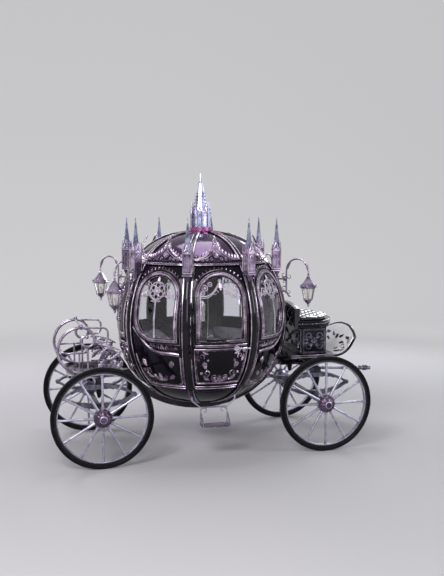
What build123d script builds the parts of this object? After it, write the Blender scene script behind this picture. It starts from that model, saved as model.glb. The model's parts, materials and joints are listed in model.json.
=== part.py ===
"""Horse-drawn carriage with a globe-shaped cabin, a driver's box and four spoked wheels.

Millimetres. +X is forward, +Y is the left side and +Z is up. The ground is z = 0.
Everything is drawn about the cabin's upright axis, and shifted along X at the end so that
the origin lies at the middle of the whole carriage's footprint.
"""
from build123d import *
import math
import os

# cabin outline: five tangent arcs in the (radius, height) plane. A shoulder starts and ends at
# angles from level, and its radius and that of the crown or keel follow from these sizes
CABIN_HALF_WIDTH = 1000.0
CABIN_MID_Z = 1500.0
CABIN_TOP_Z = 2553.0
CABIN_KEEL_Z = 513.0
SIDE_RADIUS = 1250.0
UPPER_SHOULDER_DEG = (33.77, 72.80)
LOWER_SHOULDER_DEG = (15.67, 65.83)

# cabin shell and its eight meridian ribs
RIB_COUNT = 8
RIB_WIDTH = 110.0
RIB_TAIL_WIDTH = 70.0
RIB_PROUD = 15.0
RIB_DEPTH = 45.0
WALL = 30.0
SILL_Z = 800.0
SILL_HEIGHT = 40.0
RING_DEPTH = 38.0
KEEL_BOSS_R = 118.0
KEEL_BOSS_LOW_Z = 500.0
CORNICE_Z = 2190.0
CORNICE_HEIGHT = 45.0
CORNICE_PROUD = 20.0
SEAT_GAP = 0.3
CUT_WIDTH = 500.0

# doors and windows
DOOR_GAP = 7.0
WINDOW_WIDTH = 480.0
WINDOW_SILL_Z = 1400.0
WINDOW_TOP_Z = 2080.0
WINDOW_SWEEP_R = 220.0
CASING_WIDTH = 54.0
CASING_PROUD = 9.0
GLASS = 5.0
GLASS_INSET = 12.0
HINGE_HEIGHTS = (1270.0, 1500.0, 1730.0)
HINGE_PIN_R = 5.0
HINGE_BARREL_R = 10.0
HINGE_KNUCKLE = 40.0
PIN_CLEARANCE = 0.05
END_CLEARANCE = 0.5
HANDLE_Z = 1292.0
HANDLE_X = 170.0
HANDLE_LEVER = 130.0
HANDLE_RAKE = 6.5
HANDLE_HEEL = 0.1
HANDLE_PLATE_R = 22.0
HANDLE_PLATE_SINK = 8.0
HANDLE_PLATE_PROUD = 6.0
HANDLE_STANDOFF = 42.0
HANDLE_BAR_R = 7.0
HANDLE_BALL_R = 12.0

# cabin inside
FLOOR_THICKNESS = 18.0
BENCH_TOP_Z = 1170.0
BENCH_DEPTH = 630.0
BENCH_NOSE = 15.0
CUSHION_HEIGHT = 110.0
BACK_CUSHION_TOP_Z = 1850.0
BACK_CUSHION_MARGIN = 12.0
BACK_CUSHION_THICKNESS = 80.0

# crown spire and corner turrets
COLLAR_R = 133.0
COLLAR_TOP_Z = 2600.0
COLLAR_SKIRT = 40.0
DRUM_R = 100.0
DRUM_TOP_Z = 2760.0
SPIRE_TIP_Z = 3232.0
PINNACLE_COUNT = 8
PINNACLE_RING_R = 110.0
PINNACLE_R = 15.0
PINNACLE_CAP_R = 19.0
NEEDLE_R = 90.0
TIP_R = 3.0
PINNACLE_TIP_Z = 2885.0
TURRET_STANDOFF = 50.3
TURRET_WIDTH = 92.0
TURRET_LEDGE_Z = 2085.0
TURRET_CORBEL = 75.0
CORBEL_FOOT_R = 14.0
LEDGE_HEIGHT = 30.0
LEDGE_OVERHANG = 7.0
LEDGE_REACH_BACK = 55.0
TURRET_TOP_Z = 2335.0
TURRET_TIP_Z = 2715.0
TURRET_SPIRE_R = 41.0
SPIRE_SIDES = 8

# wheels, axles and springs
TYRE_R = 560.0
TYRE_WIDTH = 46.0
TYRE_DEPTH = 40.0
FELLOE_DEPTH = 38.0
FELLOE_WIDTH = 42.0
SPOKE_COUNT = 12
HUB_R = 92.0
HUB_BACK = 70.0
HUB_NOSE = 105.0
HUB_BARREL_HALF = 34.0
HUB_NOSE_STEP = 10.0
SPOKE_FOOT_R = 16.0
SPOKE_END_R = 11.5
SPOKE_DISH = 8.0
SPOKE_ROOT = 20.0
SPOKE_TENON = 10.0
TYRE_CHAMFER = 7.0
SPINDLE_SHORT = 25.0
TRACK_HALF = 797.0
REAR_AXLE_BEYOND = 284.5
FRONT_AXLE_BEYOND = 301.0
AXLE_SIZE = 50.0
SPINDLE_R = 25.0
SPRING_Y = 450.0
SPRING_HALF_LENGTH = 400.0
SPRING_HALF_HEIGHT = 130.0
SPRING_LEAF = 24.0
SPRING_WIDTH = 55.0

# perch beam, bolsters and turntable
BEAM_WIDTH = 90.0
BEAM_STANDOFF = 20.0
BEAM_DEPTH = 75.0
BOLSTER_HEIGHT = 60.0
BOLSTER_WIDTH = 90.0
BOLSTER_HALF_LENGTH = 520.0
RING_OUTER_R = 310.0
RING_INNER_R = 255.0
RING_THICKNESS = 12.0
RING_GAP = 0.5
KINGPIN_R = 18.0
KINGPIN_COVER = 12.0
KINGPIN_END_PLAY = 4.0

# pole
POLE_HINGE_AHEAD = 124.0
POLE_HINGE_Z = 824.0
POLE_REACH = 806.0
POLE_DROOP_DEG = 2.8
POLE_R = 17.0
FERRULE_R = 25.0
FERRULE_LENGTH = 130.0
SOCKET_R = 16.0
SOCKET_DEPTH = 110.0
POLE_PIN_R = 8.0
POLE_EYE_R = 28.0
POLE_EYE_HALF = 28.0
EAR_THICKNESS = 28.0
EAR_HALF = 30.0
FUTCHELL_DEPTH = 40.0

# driver's box
PLATFORM_Z = 1040.0
PLATFORM_THICKNESS = 35.0
PLATFORM_HALF_WIDTH = 450.0
PLATFORM_BEYOND = 550.0
PLATFORM_LAP = 100.0
SADDLE_NEAR_X = 430.0
SADDLE_FAR_X = 560.0
SADDLE_WIDTH = 80.0
DASH_RADIUS = 250.0
DASH_LEAN_DEG = 60.0
DASH_RISE = 220.0
DASH_THICKNESS = 22.0
DASH_TOP_Z = 1375.0
DASH_CORNER_Z = 1265.0
BOX_BEYOND = 140.0
BOX_DEPTH = 310.0
BOX_HALF_WIDTH = 420.0
BOX_TOP_Z = 1400.0
SEAT_BEYOND = 95.0
SEAT_SIDE_DEPTH = 282.0
SEAT_DEPTH = 525.0
SEAT_HALF_WIDTH = 450.0
SEAT_RIM_TOP_Z = 1480.0
SEAT_CUSHION_TOP_Z = 1530.0
SEAT_CUSHION_INSET = 25.0
BACKREST_THICKNESS = 60.0
BACKREST_LAP = 20.0
BACKREST_END_Z = 1640.0
BACKREST_TOP_Z = 1700.0

# rear board, scrolls and luggage rail
BOARD_BEYOND = 10.0
BOARD_DEPTH = 600.0
BOARD_CORNER_R = 120.0
BOARD_HALF_WIDTH = 430.0
BOARD_THICKNESS = 30.0
SCROLL_Y = 350.0
SCROLL_TUBE_R = 16.0
SCROLL_BEYOND = 465.0
SCROLL_R = 258.0
CURL_R = 148.0
EYE_R = 74.0
TAIL_R = 45.0
RAIL_TUBE_R = 11.0
RAIL_Z = 1205.0
RAIL_BEND_R = 90.0
RAIL_END_IN = 45.0
POST_SPACING = 95.0
ARM_LENGTH = 300.0
ARM_FALL = 12.0
ARM_LOW = 30.0
ARM_BEND_R = 60.0

# lanterns
LAMP_AHEAD = 272.0
LAMP_ASIDE = 305.0
LAMP_EAVES_Z = 1921.0
LAMP_PEAK_Z = 2040.0
LAMP_EAVES_R = 96.0
LAMP_TOP_R = 82.0
LAMP_BOTTOM_R = 54.0
LAMP_BOTTOM_Z = 1760.0
LAMP_FINIAL_Z = 1690.0
LAMP_SIDES = 6
LAMP_BRIM = 12.0
LAMP_CUP = 30.0
LAMP_CUP_R = 22.0
LAMP_DROP_R = 14.0
LAMP_BAR_R = 4.0
LAMP_BAR_SHARE = 0.93
LAMP_GLASS_IN = 9.0
LAMP_GLASS = 4.0
BRACKET_TUBE_R = 10.0
BRACKET_STEM_AT = 120.0
BRACKET_FOOT_BURY = 7.0
BRACKET_ARCH_RISE = 50.0
BRACKET_STRUT_DROP = 18.0
BRACKET_SINK = 60.0
BRACKET_ARM_Z = 1850.0
BRACKET_STEM_LOW_Z = 1840.0

# steps
STEP_Y = 780.0
STEP_DEPTH = 165.0
STEP_WIDTH = 330.0
STEP_Z = 360.0
STEP_TOP_Z = 560.0
STEP_TUBE_R = 9.0
TREAD_THICKNESS = 14.0
HANGER_BEND_R = 25.0
HANGER_LEAN = 20.0
HANGER_DROP = 60.0
HANGER_OFFSET = 10.0
STEP_ANCHOR_X = 255.0
STEP_ANCHOR_Z = 640.0
STEP_ROOT_Z = 760.0
STEP_ROOT_BURY = 89.0

RIB_STEP_DEG = 360.0 / RIB_COUNT
RIB_ANGLES = [RIB_STEP_DEG * (i + 0.5) for i in range(RIB_COUNT)]
FAR = 3000.0

# places along the carriage, worked out from the cabin's half width outwards
FRONT_AXLE_X = CABIN_HALF_WIDTH + FRONT_AXLE_BEYOND
REAR_AXLE_X = -CABIN_HALF_WIDTH - REAR_AXLE_BEYOND
POLE_HINGE_X = FRONT_AXLE_X + POLE_HINGE_AHEAD
POLE_TIP_X = POLE_HINGE_X + POLE_REACH
PLATFORM_FRONT_X = CABIN_HALF_WIDTH + PLATFORM_BEYOND
BOX_REAR_X = CABIN_HALF_WIDTH + BOX_BEYOND
BOX_FRONT_X = BOX_REAR_X + BOX_DEPTH
SEAT_REAR_X = CABIN_HALF_WIDTH + SEAT_BEYOND
SEAT_SIDE_X = SEAT_REAR_X + SEAT_SIDE_DEPTH
SEAT_FRONT_X = SEAT_REAR_X + SEAT_DEPTH
BOARD_FRONT_X = -CABIN_HALF_WIDTH - BOARD_BEYOND
BOARD_REAR_X = BOARD_FRONT_X - BOARD_DEPTH
SCROLL_X = -CABIN_HALF_WIDTH - SCROLL_BEYOND
ORIGIN_X = (POLE_TIP_X + REAR_AXLE_X - TYRE_R) / 2.0


def level_direction(degrees):
    """The unit direction in the (radius, height) plane at an angle up from level."""
    return math.cos(math.radians(degrees)), math.sin(math.radians(degrees))


def shoulder_and_end(height, start_deg, end_deg):
    """Radii of a shoulder arc, and of the arc after it that meets the axis at a height from mid."""
    cos_s, sin_s = level_direction(start_deg)
    cos_e, sin_e = level_direction(end_deg)
    across = CABIN_HALF_WIDTH - SIDE_RADIUS + SIDE_RADIUS * cos_s
    rise = height - SIDE_RADIUS * sin_s
    scale = cos_e * (sin_e - sin_s) - (cos_s - cos_e) * (1.0 - sin_e)
    shoulder = (cos_e * rise - across * (1.0 - sin_e)) / scale
    end = (across * (sin_e - sin_s) - (cos_s - cos_e) * rise) / scale
    return shoulder, end


def along_side(radius, degrees):
    """Centre of a shoulder arc of a radius that leaves the side arc at an angle."""
    run, rise = level_direction(degrees)
    return SIDE_C[0] + (SIDE_RADIUS - radius) * run, SIDE_C[1] + (SIDE_RADIUS - radius) * rise


SIDE_C = (CABIN_HALF_WIDTH - SIDE_RADIUS, CABIN_MID_Z)
UPPER_RADIUS, CROWN_RADIUS = shoulder_and_end(CABIN_TOP_Z - CABIN_MID_Z, *UPPER_SHOULDER_DEG)
LOWER_RADIUS, KEEL_RADIUS = shoulder_and_end(CABIN_MID_Z - CABIN_KEEL_Z, *LOWER_SHOULDER_DEG)
UPPER_START, UPPER_END = UPPER_SHOULDER_DEG
LOWER_START, LOWER_END = LOWER_SHOULDER_DEG
# each arc of the outline: centre, radius, angle where it starts, angle where it ends
OUTLINE = [
    ((0.0, CABIN_KEEL_Z + KEEL_RADIUS), KEEL_RADIUS, -90.0, -LOWER_END),
    (along_side(LOWER_RADIUS, -LOWER_START), LOWER_RADIUS, -LOWER_END, -LOWER_START),
    (SIDE_C, SIDE_RADIUS, -LOWER_START, UPPER_START),
    (along_side(UPPER_RADIUS, UPPER_START), UPPER_RADIUS, UPPER_START, UPPER_END),
    ((0.0, CABIN_TOP_Z - CROWN_RADIUS), CROWN_RADIUS, UPPER_END, 90.0),
]


def cabin_radius(z, inset=0.0):
    """Radius of the cabin's surface at a height, inset along the surface's normal."""
    for centre, radius, start, end in OUTLINE:
        r = radius - inset
        if z <= centre[1] + r * level_direction(end)[1] + 1e-6:
            return centre[0] + math.sqrt(max(r * r - (z - centre[1]) ** 2, 0.0))
    return 0.0


def half_face(inset):
    """Half of the cabin's upright section, in the XZ plane, inset along its normal."""
    edges = []
    for centre, radius, start, end in OUTLINE:
        r = radius - inset
        points = []
        for degrees in (start, (start + end) / 2.0, end):
            run, rise = level_direction(degrees)
            points.append(Vector(centre[0] + r * run, 0, centre[1] + r * rise))
        edges.append(Edge.make_three_point_arc(*points))
    edges.append(Edge.make_line(edges[-1] @ 1, edges[0] @ 0))
    return Face(Wire(edges))


def globe(inset):
    """The whole cabin volume, inset along its normal."""
    return revolve(half_face(inset), Axis.Z, 360)


def blade(inset, width):
    """The half section given a width across, as a slab in the XZ plane on the +X side."""
    return extrude(half_face(inset), width / 2.0, dir=(0, 1, 0), both=True)


def turned(shape, degrees):
    return Rot(0, 0, degrees) * shape


def block(x, y, z):
    """A box given by its low and high value along each axis."""
    size = [high - low for low, high in (x, y, z)]
    centre = [(high + low) / 2.0 for low, high in (x, y, z)]
    return Pos(*centre) * Box(*size)


def slice_z(low, high):
    return block((-FAR, FAR), (-FAR, FAR), (low, high))


def band(outer, inner, width, low, high):
    """A strip of the cabin's section between two insets, of a width, between two heights."""
    return (blade(outer, width) - blade(inner, width + 20.0)) & slice_z(low, high)


def gore(azimuth, margin, low, high):
    """The wedge between two ribs, standing clear of their centre planes by a margin."""
    half = math.radians(RIB_STEP_DEG / 2.0)
    apex = margin / math.sin(half)
    corners = [(apex, 0.0)]
    for side in (-1.0, 1.0):
        corners.append((apex + FAR * math.cos(half), side * FAR * math.sin(half)))
    prism = extrude(Pos(0, 0, low) * make_face(Polyline(*corners, close=True)), high - low)
    return turned(prism, azimuth)


def rod(a, b, r):
    """A round bar from point a to point b."""
    a, b = Vector(*a), Vector(*b)
    return Solid.make_cylinder(r, (b - a).length, Plane(origin=a, z_dir=b - a))


def cone(a, b, r_a, r_b):
    a, b = Vector(*a), Vector(*b)
    return Solid.make_cone(r_a, r_b, (b - a).length, Plane(origin=a, z_dir=b - a))


def ring(r_out, r_in, low, high, x=0.0):
    solid = Pos(x, 0, (low + high) / 2.0) * Cylinder(r_out, high - low)
    return solid - Pos(x, 0, (low + high) / 2.0) * Cylinder(r_in, high - low + 20.0)


def spun(points, axis_y):
    """A solid turned about the Y direction from (distance along Y, radius) points."""
    line = Polyline(*[(r, s) for s, r in points], close=True)
    face = make_face(line)
    return Pos(0, axis_y, 0) * revolve(face, Axis.Y, 360)


def mirrored(shape):
    return mirror(shape, Plane.XZ)


def both_sides(shape):
    return [shape, mirrored(shape)]


def fuse(*shapes):
    result = shapes[0]
    for shape in shapes[1:]:
        result = result + shape
    return result


def arch_prism(azimuth, grow=0.0, swept=0.0):
    """A round-arched window's column, through the wall along the radius, grown on every side.

    Its lower corner on the side that swept names, 1 or -1, is one wide sweep into the sill.
    """
    w = WINDOW_WIDTH / 2.0 + grow
    spring = WINDOW_TOP_Z - WINDOW_WIDTH / 2.0
    low = WINDOW_SILL_Z - grow
    near, far = (-w, w) if swept >= 0.0 else (w, -w)
    outline = [
        Edge.make_line((0, near, low), (0, near, spring)),
        Edge.make_three_point_arc((0, near, spring), (0, 0, spring + w), (0, far, spring)),
    ]
    if swept == 0.0:
        outline.append(Edge.make_line((0, far, spring), (0, far, low)))
        outline.append(Edge.make_line((0, far, low), (0, near, low)))
    else:
        r = WINDOW_SWEEP_R + grow
        centre_y, centre_z = far - swept * r, low + r
        middle = (0, centre_y + swept * r * math.sqrt(0.5), centre_z - r * math.sqrt(0.5))
        outline.append(Edge.make_line((0, far, spring), (0, far, centre_z)))
        outline.append(Edge.make_three_point_arc((0, far, centre_z), middle, (0, centre_y, low)))
        outline.append(Edge.make_line((0, centre_y, low), (0, near, low)))
    column = extrude(Face(Wire(outline)), FAR / 2.0, dir=(1, 0, 0))
    return turned(column, azimuth)


def windowed(panel, azimuth, swept=0.0):
    """A panel with a raised casing round its window, and the window cut through both."""
    casing = casing_shell & arch_prism(azimuth, CASING_WIDTH, swept)
    return panel + casing - arch_prism(azimuth, 0.0, swept)


def prism_taper(sides, low, high, r_low, r_high):
    """An upright body with flat sides that changes width between two heights, on the Z axis."""
    return loft([Pos(0, 0, low) * RegularPolygon(r_low, sides),
                 Pos(0, 0, high) * RegularPolygon(r_high, sides)])


def tube(points, radii, r):
    """A round tube along straight runs joined by tangent arcs."""
    path = FilletPolyline(*points, radius=radii)
    start = path @ 0
    return sweep(Plane(origin=start, z_dir=path % 0) * Circle(r), path=path)


parts = {}

# cabin shell
wall_shell = globe(0.0) - globe(WALL)
parts["underbody"] = wall_shell & slice_z(0.0, SILL_Z)
parts["dome"] = wall_shell & slice_z(CORNICE_Z + CORNICE_HEIGHT, FAR)

cage_top = CORNICE_Z + CORNICE_HEIGHT
rib_tail = band(-RIB_PROUD, -SEAT_GAP, RIB_TAIL_WIDTH, 0.0, SILL_Z + SILL_HEIGHT / 2.0)
rib_tail = rib_tail & block((KEEL_BOSS_R - 12.0, FAR), (-FAR, FAR), (0.0, FAR))
rib_head = band(-RIB_PROUD, -SEAT_GAP, RIB_TAIL_WIDTH, cage_top - CORNICE_HEIGHT / 2.0, FAR)
rib_head = rib_head & block((COLLAR_R + 4.0, FAR), (-FAR, FAR), (0.0, FAR))
rib_jamb = band(-RIB_PROUD, RIB_DEPTH, RIB_WIDTH, SILL_Z, cage_top)
rib = fuse(rib_jamb, rib_tail, rib_head)
sill_ring = (globe(-SEAT_GAP) - globe(RING_DEPTH)) & slice_z(SILL_Z, SILL_Z + SILL_HEIGHT)
cornice = (globe(-CORNICE_PROUD) - globe(RING_DEPTH)) & slice_z(CORNICE_Z, cage_top)
boss_top = CABIN_KEEL_Z - 2.0 * SEAT_GAP
keel_boss = Pos(0, 0, (KEEL_BOSS_LOW_Z + boss_top) / 2.0)
keel_boss = keel_boss * Cylinder(KEEL_BOSS_R, boss_top - KEEL_BOSS_LOW_Z)
cage = fuse(sill_ring, cornice, keel_boss, *[turned(rib, a) for a in RIB_ANGLES])

PANEL_LOW = SILL_Z + SILL_HEIGHT
panel_shell = wall_shell & slice_z(PANEL_LOW, CORNICE_Z)
# each panel: name, place counted in rib steps from the front, side of its window's swept corner
PANELS = [
    ("panel_front", 0, None),
    ("panel_front_left", 1, -1.0),
    ("panel_rear_left", 3, 1.0),
    ("panel_rear", 4, None),
    ("panel_rear_right", 5, -1.0),
    ("panel_front_right", 7, 1.0),
]
casing_shell = globe(-CASING_PROUD) - globe(WALL / 2.0)
glass_shell = globe(GLASS_INSET) - globe(GLASS_INSET + GLASS)
side_panes = []
for name, place, swept in PANELS:
    azimuth = RIB_STEP_DEG * place
    panel = panel_shell & gore(azimuth, RIB_WIDTH / 2.0, PANEL_LOW, CORNICE_Z)
    if swept is not None:
        panel = windowed(panel, azimuth, swept)
        side_panes.append(glass_shell & arch_prism(azimuth, -SEAT_GAP, swept))
    parts[name] = panel
parts["side_window_glass"] = side_panes

# doors, hung on upright pins just outside the rear ribs
door_azimuth = -90.0
door_low = PANEL_LOW + DOOR_GAP
door_high = CORNICE_Z - DOOR_GAP
door = wall_shell & gore(door_azimuth, RIB_WIDTH / 2.0 + DOOR_GAP, door_low, door_high)
door = windowed(door, door_azimuth)
door_pane = glass_shell & arch_prism(door_azimuth, -SEAT_GAP)

rear_rib = math.radians(door_azimuth - RIB_STEP_DEG / 2.0)
hinge_out = CABIN_HALF_WIDTH + RIB_PROUD + HINGE_BARREL_R + 2.0
hinge_along = RIB_WIDTH / 2.0 + DOOR_GAP / 2.0
HINGE_POINT = (hinge_out * math.cos(rear_rib) - hinge_along * math.sin(rear_rib),
               hinge_out * math.sin(rear_rib) + hinge_along * math.cos(rear_rib))


def hinge_leaf(low, high, side):
    """A leaf from the barrel onto the door (side 1) or onto the rib (side -1)."""
    reach = HINGE_BARREL_R * 2.4
    inner = cabin_radius((low + high) / 2.0) - WALL / 2.0
    start = hinge_along if side > 0 else hinge_along - reach
    leaf = block((inner, hinge_out), (start, start + reach), (low, high))
    if side < 0:
        leaf = leaf - blade(-RIB_PROUD - SEAT_GAP, CUT_WIDTH)
    return turned(leaf, door_azimuth - RIB_STEP_DEG / 2.0)


def pin_at(r, low, high):
    return Pos(HINGE_POINT[0], HINGE_POINT[1], (low + high) / 2.0) * Cylinder(r, high - low)


hinge_brackets = []
for z in HINGE_HEIGHTS:
    low, high = z - HINGE_KNUCKLE / 2.0, z + HINGE_KNUCKLE / 2.0
    knuckle = fuse(pin_at(HINGE_BARREL_R, low, high), hinge_leaf(low, high, 1.0))
    knuckle = knuckle - pin_at(HINGE_PIN_R + PIN_CLEARANCE, low - 5.0, high + 5.0)
    door = door + knuckle
    ears = []
    for start in (low - HINGE_KNUCKLE - END_CLEARANCE, high + END_CLEARANCE):
        end = start + HINGE_KNUCKLE
        ears.append(pin_at(HINGE_BARREL_R, start, end) + hinge_leaf(start, end, -1.0))
    pin = pin_at(HINGE_PIN_R, low - HINGE_KNUCKLE, high + HINGE_KNUCKLE)
    hinge_brackets.extend(both_sides(fuse(pin, *ears)))
parts["door_right"] = door
parts["door_left"] = mirrored(door)
parts["door_glass_right"] = door_pane
parts["door_glass_left"] = mirrored(door_pane)
parts["door_hinges"] = hinge_brackets
parts["rib_cage"] = cage

# door handles: a round plate, a stem, a lever and its ball
handle_y = -math.sqrt(cabin_radius(HANDLE_Z) ** 2 - HANDLE_X ** 2)
outward = Vector(HANDLE_X, handle_y, 0).normalized()
foot = Vector(HANDLE_X, handle_y, HANDLE_Z)
plate = rod(foot - outward * HANDLE_PLATE_SINK, foot + outward * HANDLE_PLATE_PROUD, HANDLE_PLATE_R)
grip = foot + outward * HANDLE_STANDOFF
stem = rod(foot, grip, HANDLE_BAR_R)
lever = Vector(HANDLE_LEVER, -HANDLE_RAKE, 0)
handle = fuse(plate, stem, rod(grip - lever * HANDLE_HEEL, grip + lever, HANDLE_BAR_R))
handle = handle + Pos(*(grip + lever)) * Sphere(HANDLE_BALL_R)
handle = handle - globe(-SEAT_GAP)
parts["door_handle_right"] = handle
parts["door_handle_left"] = mirrored(handle)

# floor, benches and cushions
floor_r = cabin_radius(PANEL_LOW, RIB_DEPTH) - 10.0
floor_z = PANEL_LOW + SEAT_GAP
floor_top = floor_z + FLOOR_THICKNESS
parts["cabin_floor"] = Pos(0, 0, (floor_z + floor_top) / 2.0) * Cylinder(floor_r, FLOOR_THICKNESS)
inner_room = globe(RIB_DEPTH + SEAT_GAP)
bench_front_x = CABIN_HALF_WIDTH - BENCH_DEPTH
bench_zone = block((-FAR, -bench_front_x), (-FAR, FAR), (floor_top + SEAT_GAP, BENCH_TOP_Z))
bench = inner_room & bench_zone
cushion_room = globe(RIB_DEPTH + 10.0)
cushion_zone = block((-FAR, -bench_front_x + BENCH_NOSE), (-FAR, FAR),
                     (BENCH_TOP_Z + SEAT_GAP, BENCH_TOP_Z + CUSHION_HEIGHT))
cushion = cushion_room & cushion_zone
back_zone = gore(180.0, RIB_WIDTH / 2.0 + BACK_CUSHION_MARGIN,
                 BENCH_TOP_Z + CUSHION_HEIGHT + SEAT_GAP, BACK_CUSHION_TOP_Z)
back = (globe(WALL + SEAT_GAP) - globe(WALL + BACK_CUSHION_THICKNESS)) & back_zone
for end, spin in (("rear", 0.0), ("front", 180.0)):
    parts["bench_" + end] = turned(bench, spin)
    parts["bench_cushion_" + end] = turned(cushion, spin)
    parts["bench_back_" + end] = turned(back, spin)

# crown spire
collar_low = CABIN_TOP_Z - COLLAR_SKIRT
collar = Pos(0, 0, (collar_low + COLLAR_TOP_Z) / 2.0) * Cylinder(COLLAR_R, COLLAR_TOP_Z - collar_low)
collar = collar - globe(-SEAT_GAP)
parts["spire_collar"] = collar
drum_base = COLLAR_TOP_Z
drum = prism_taper(SPIRE_SIDES, drum_base, DRUM_TOP_Z, DRUM_R, DRUM_R)
needle = prism_taper(SPIRE_SIDES, DRUM_TOP_Z, SPIRE_TIP_Z, NEEDLE_R, TIP_R)
pinnacles = []
for i in range(PINNACLE_COUNT):
    a = math.radians(360.0 / PINNACLE_COUNT * i)
    x, y = PINNACLE_RING_R * math.cos(a), PINNACLE_RING_R * math.sin(a)
    pinnacles.append(rod((x, y, drum_base), (x, y, DRUM_TOP_Z), PINNACLE_R))
    pinnacles.append(cone((x, y, DRUM_TOP_Z), (x, y, PINNACLE_TIP_Z), PINNACLE_CAP_R, TIP_R))
parts["crown_spire"] = fuse(drum, needle, *pinnacles)

# corner turrets on the ribs
turret_ring_r = cabin_radius(TURRET_LEDGE_Z) + TURRET_STANDOFF
half = TURRET_WIDTH / 2.0
brim_half = half + LEDGE_OVERHANG
turret = block((turret_ring_r - half, turret_ring_r + half), (-half, half),
               (TURRET_LEDGE_Z, TURRET_TOP_Z))
ledge = block((turret_ring_r - half - LEDGE_REACH_BACK, turret_ring_r + brim_half),
              (-brim_half, brim_half), (TURRET_LEDGE_Z, TURRET_LEDGE_Z + LEDGE_HEIGHT))
corbel = cone((turret_ring_r, 0, TURRET_LEDGE_Z - TURRET_CORBEL),
              (turret_ring_r, 0, TURRET_LEDGE_Z), CORBEL_FOOT_R, half)
turret_cut = blade(-RIB_PROUD - SEAT_GAP, CUT_WIDTH)
cornice_cut = globe(-CORNICE_PROUD - SEAT_GAP) & slice_z(CORNICE_Z - 1.0, FAR)
turret = fuse(turret, ledge, corbel) - turret_cut - cornice_cut
turret_spire = Pos(turret_ring_r, 0, 0) * prism_taper(
    SPIRE_SIDES, TURRET_TOP_Z + SEAT_GAP, TURRET_TIP_Z, TURRET_SPIRE_R, TIP_R)
parts["corner_turrets"] = [turned(turret, a) for a in RIB_ANGLES]
parts["corner_spires"] = [turned(turret_spire, a) for a in RIB_ANGLES]

# one wheel about the Y axis, then its four copies
rim_inner = TYRE_R - TYRE_DEPTH
tyre = ring(TYRE_R, rim_inner, -TYRE_WIDTH / 2.0, TYRE_WIDTH / 2.0)
tyre = chamfer(tyre.edges().filter_by(GeomType.CIRCLE), TYRE_CHAMFER)
tyre = Rot(90, 0, 0) * tyre
felloe_outer = rim_inner - SEAT_GAP
felloe = Rot(90, 0, 0) * ring(felloe_outer, rim_inner - FELLOE_DEPTH,
                              -FELLOE_WIDTH / 2.0, FELLOE_WIDTH / 2.0)
# hub outline: distance along the axle from the wheel's plane outwards, radius
HUB_OUTLINE = [
    (-HUB_BACK, 0.0), (-HUB_BACK, 58.0), (-48.0, 62.0), (-HUB_BARREL_HALF, HUB_R), (HUB_BARREL_HALF, HUB_R),
    (56.0, 58.0), (80.0, 46.0), (HUB_NOSE - HUB_NOSE_STEP, 40.0), (HUB_NOSE, 22.0), (HUB_NOSE, 0.0),
]
hub = spun([(-s, r) for s, r in HUB_OUTLINE], 0.0)
spokes = []
for i in range(SPOKE_COUNT):
    spoke = cone((0, -SPOKE_DISH, HUB_R - SPOKE_ROOT), (0, 0, rim_inner - FELLOE_DEPTH + SPOKE_TENON),
                 SPOKE_FOOT_R, SPOKE_END_R)
    spokes.append(Rot(0, 360.0 / SPOKE_COUNT * i, 0) * spoke)
spindle_end = HUB_NOSE - SPINDLE_SHORT
bore = rod((0, HUB_BACK + 5.0, 0), (0, -spindle_end - 4.0, 0), SPINDLE_R + PIN_CLEARANCE)
wheel = fuse(hub, felloe, *spokes) - bore
for end, axle_x in (("front", FRONT_AXLE_X), ("rear", REAR_AXLE_X)):
    for side, sign in (("right", -1.0), ("left", 1.0)):
        place = Pos(axle_x, sign * TRACK_HALF, TYRE_R)
        shape = wheel if sign < 0 else mirrored(wheel)
        parts["wheel_" + end + "_" + side] = place * shape
        parts["tyre_" + end + "_" + side] = place * tyre


def axle(x):
    """An axle beam with a round spindle at each end."""
    beam_half = TRACK_HALF - HUB_BACK - 4.0
    beam = block((x - AXLE_SIZE / 2.0, x + AXLE_SIZE / 2.0), (-beam_half, beam_half),
                 (TYRE_R - AXLE_SIZE / 2.0, TYRE_R + AXLE_SIZE / 2.0))
    reach = TRACK_HALF + spindle_end
    return beam + rod((x, -reach, TYRE_R), (x, reach, TYRE_R), SPINDLE_R)


parts["front_axle"] = axle(FRONT_AXLE_X)
parts["rear_axle"] = axle(REAR_AXLE_X)

SPRING_MID_Z = TYRE_R + AXLE_SIZE / 2.0 + SEAT_GAP + SPRING_HALF_HEIGHT + SPRING_LEAF / 2.0
SPRING_TOP_Z = SPRING_MID_Z + SPRING_HALF_HEIGHT + SPRING_LEAF / 2.0


def elliptic_spring(x, y):
    """Two bowed leaves that meet at rolled eyes, front and rear."""
    leaves = []
    for sign in (1.0, -1.0):
        left = Vector(x - SPRING_HALF_LENGTH, y, SPRING_MID_Z)
        right = Vector(x + SPRING_HALF_LENGTH, y, SPRING_MID_Z)
        crown = Vector(x, y, SPRING_MID_Z + sign * SPRING_HALF_HEIGHT)
        path = Edge.make_three_point_arc(left, crown, right)
        section = Plane(origin=left, x_dir=(0, 1, 0), z_dir=path % 0)
        leaves.append(sweep(section * Rectangle(SPRING_WIDTH, SPRING_LEAF), path=path))
    for end in (-1.0, 1.0):
        eye_x = x + end * SPRING_HALF_LENGTH
        leaves.append(rod((eye_x, y - SPRING_WIDTH / 2.0, SPRING_MID_Z),
                          (eye_x, y + SPRING_WIDTH / 2.0, SPRING_MID_Z), SPRING_LEAF))
    return fuse(*leaves) & slice_z(TYRE_R + AXLE_SIZE / 2.0 + SEAT_GAP, SPRING_TOP_Z)


for end, axle_x in (("front", FRONT_AXLE_X), ("rear", REAR_AXLE_X)):
    parts[end + "_springs"] = [elliptic_spring(axle_x, -SPRING_Y), elliptic_spring(axle_x, SPRING_Y)]

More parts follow.
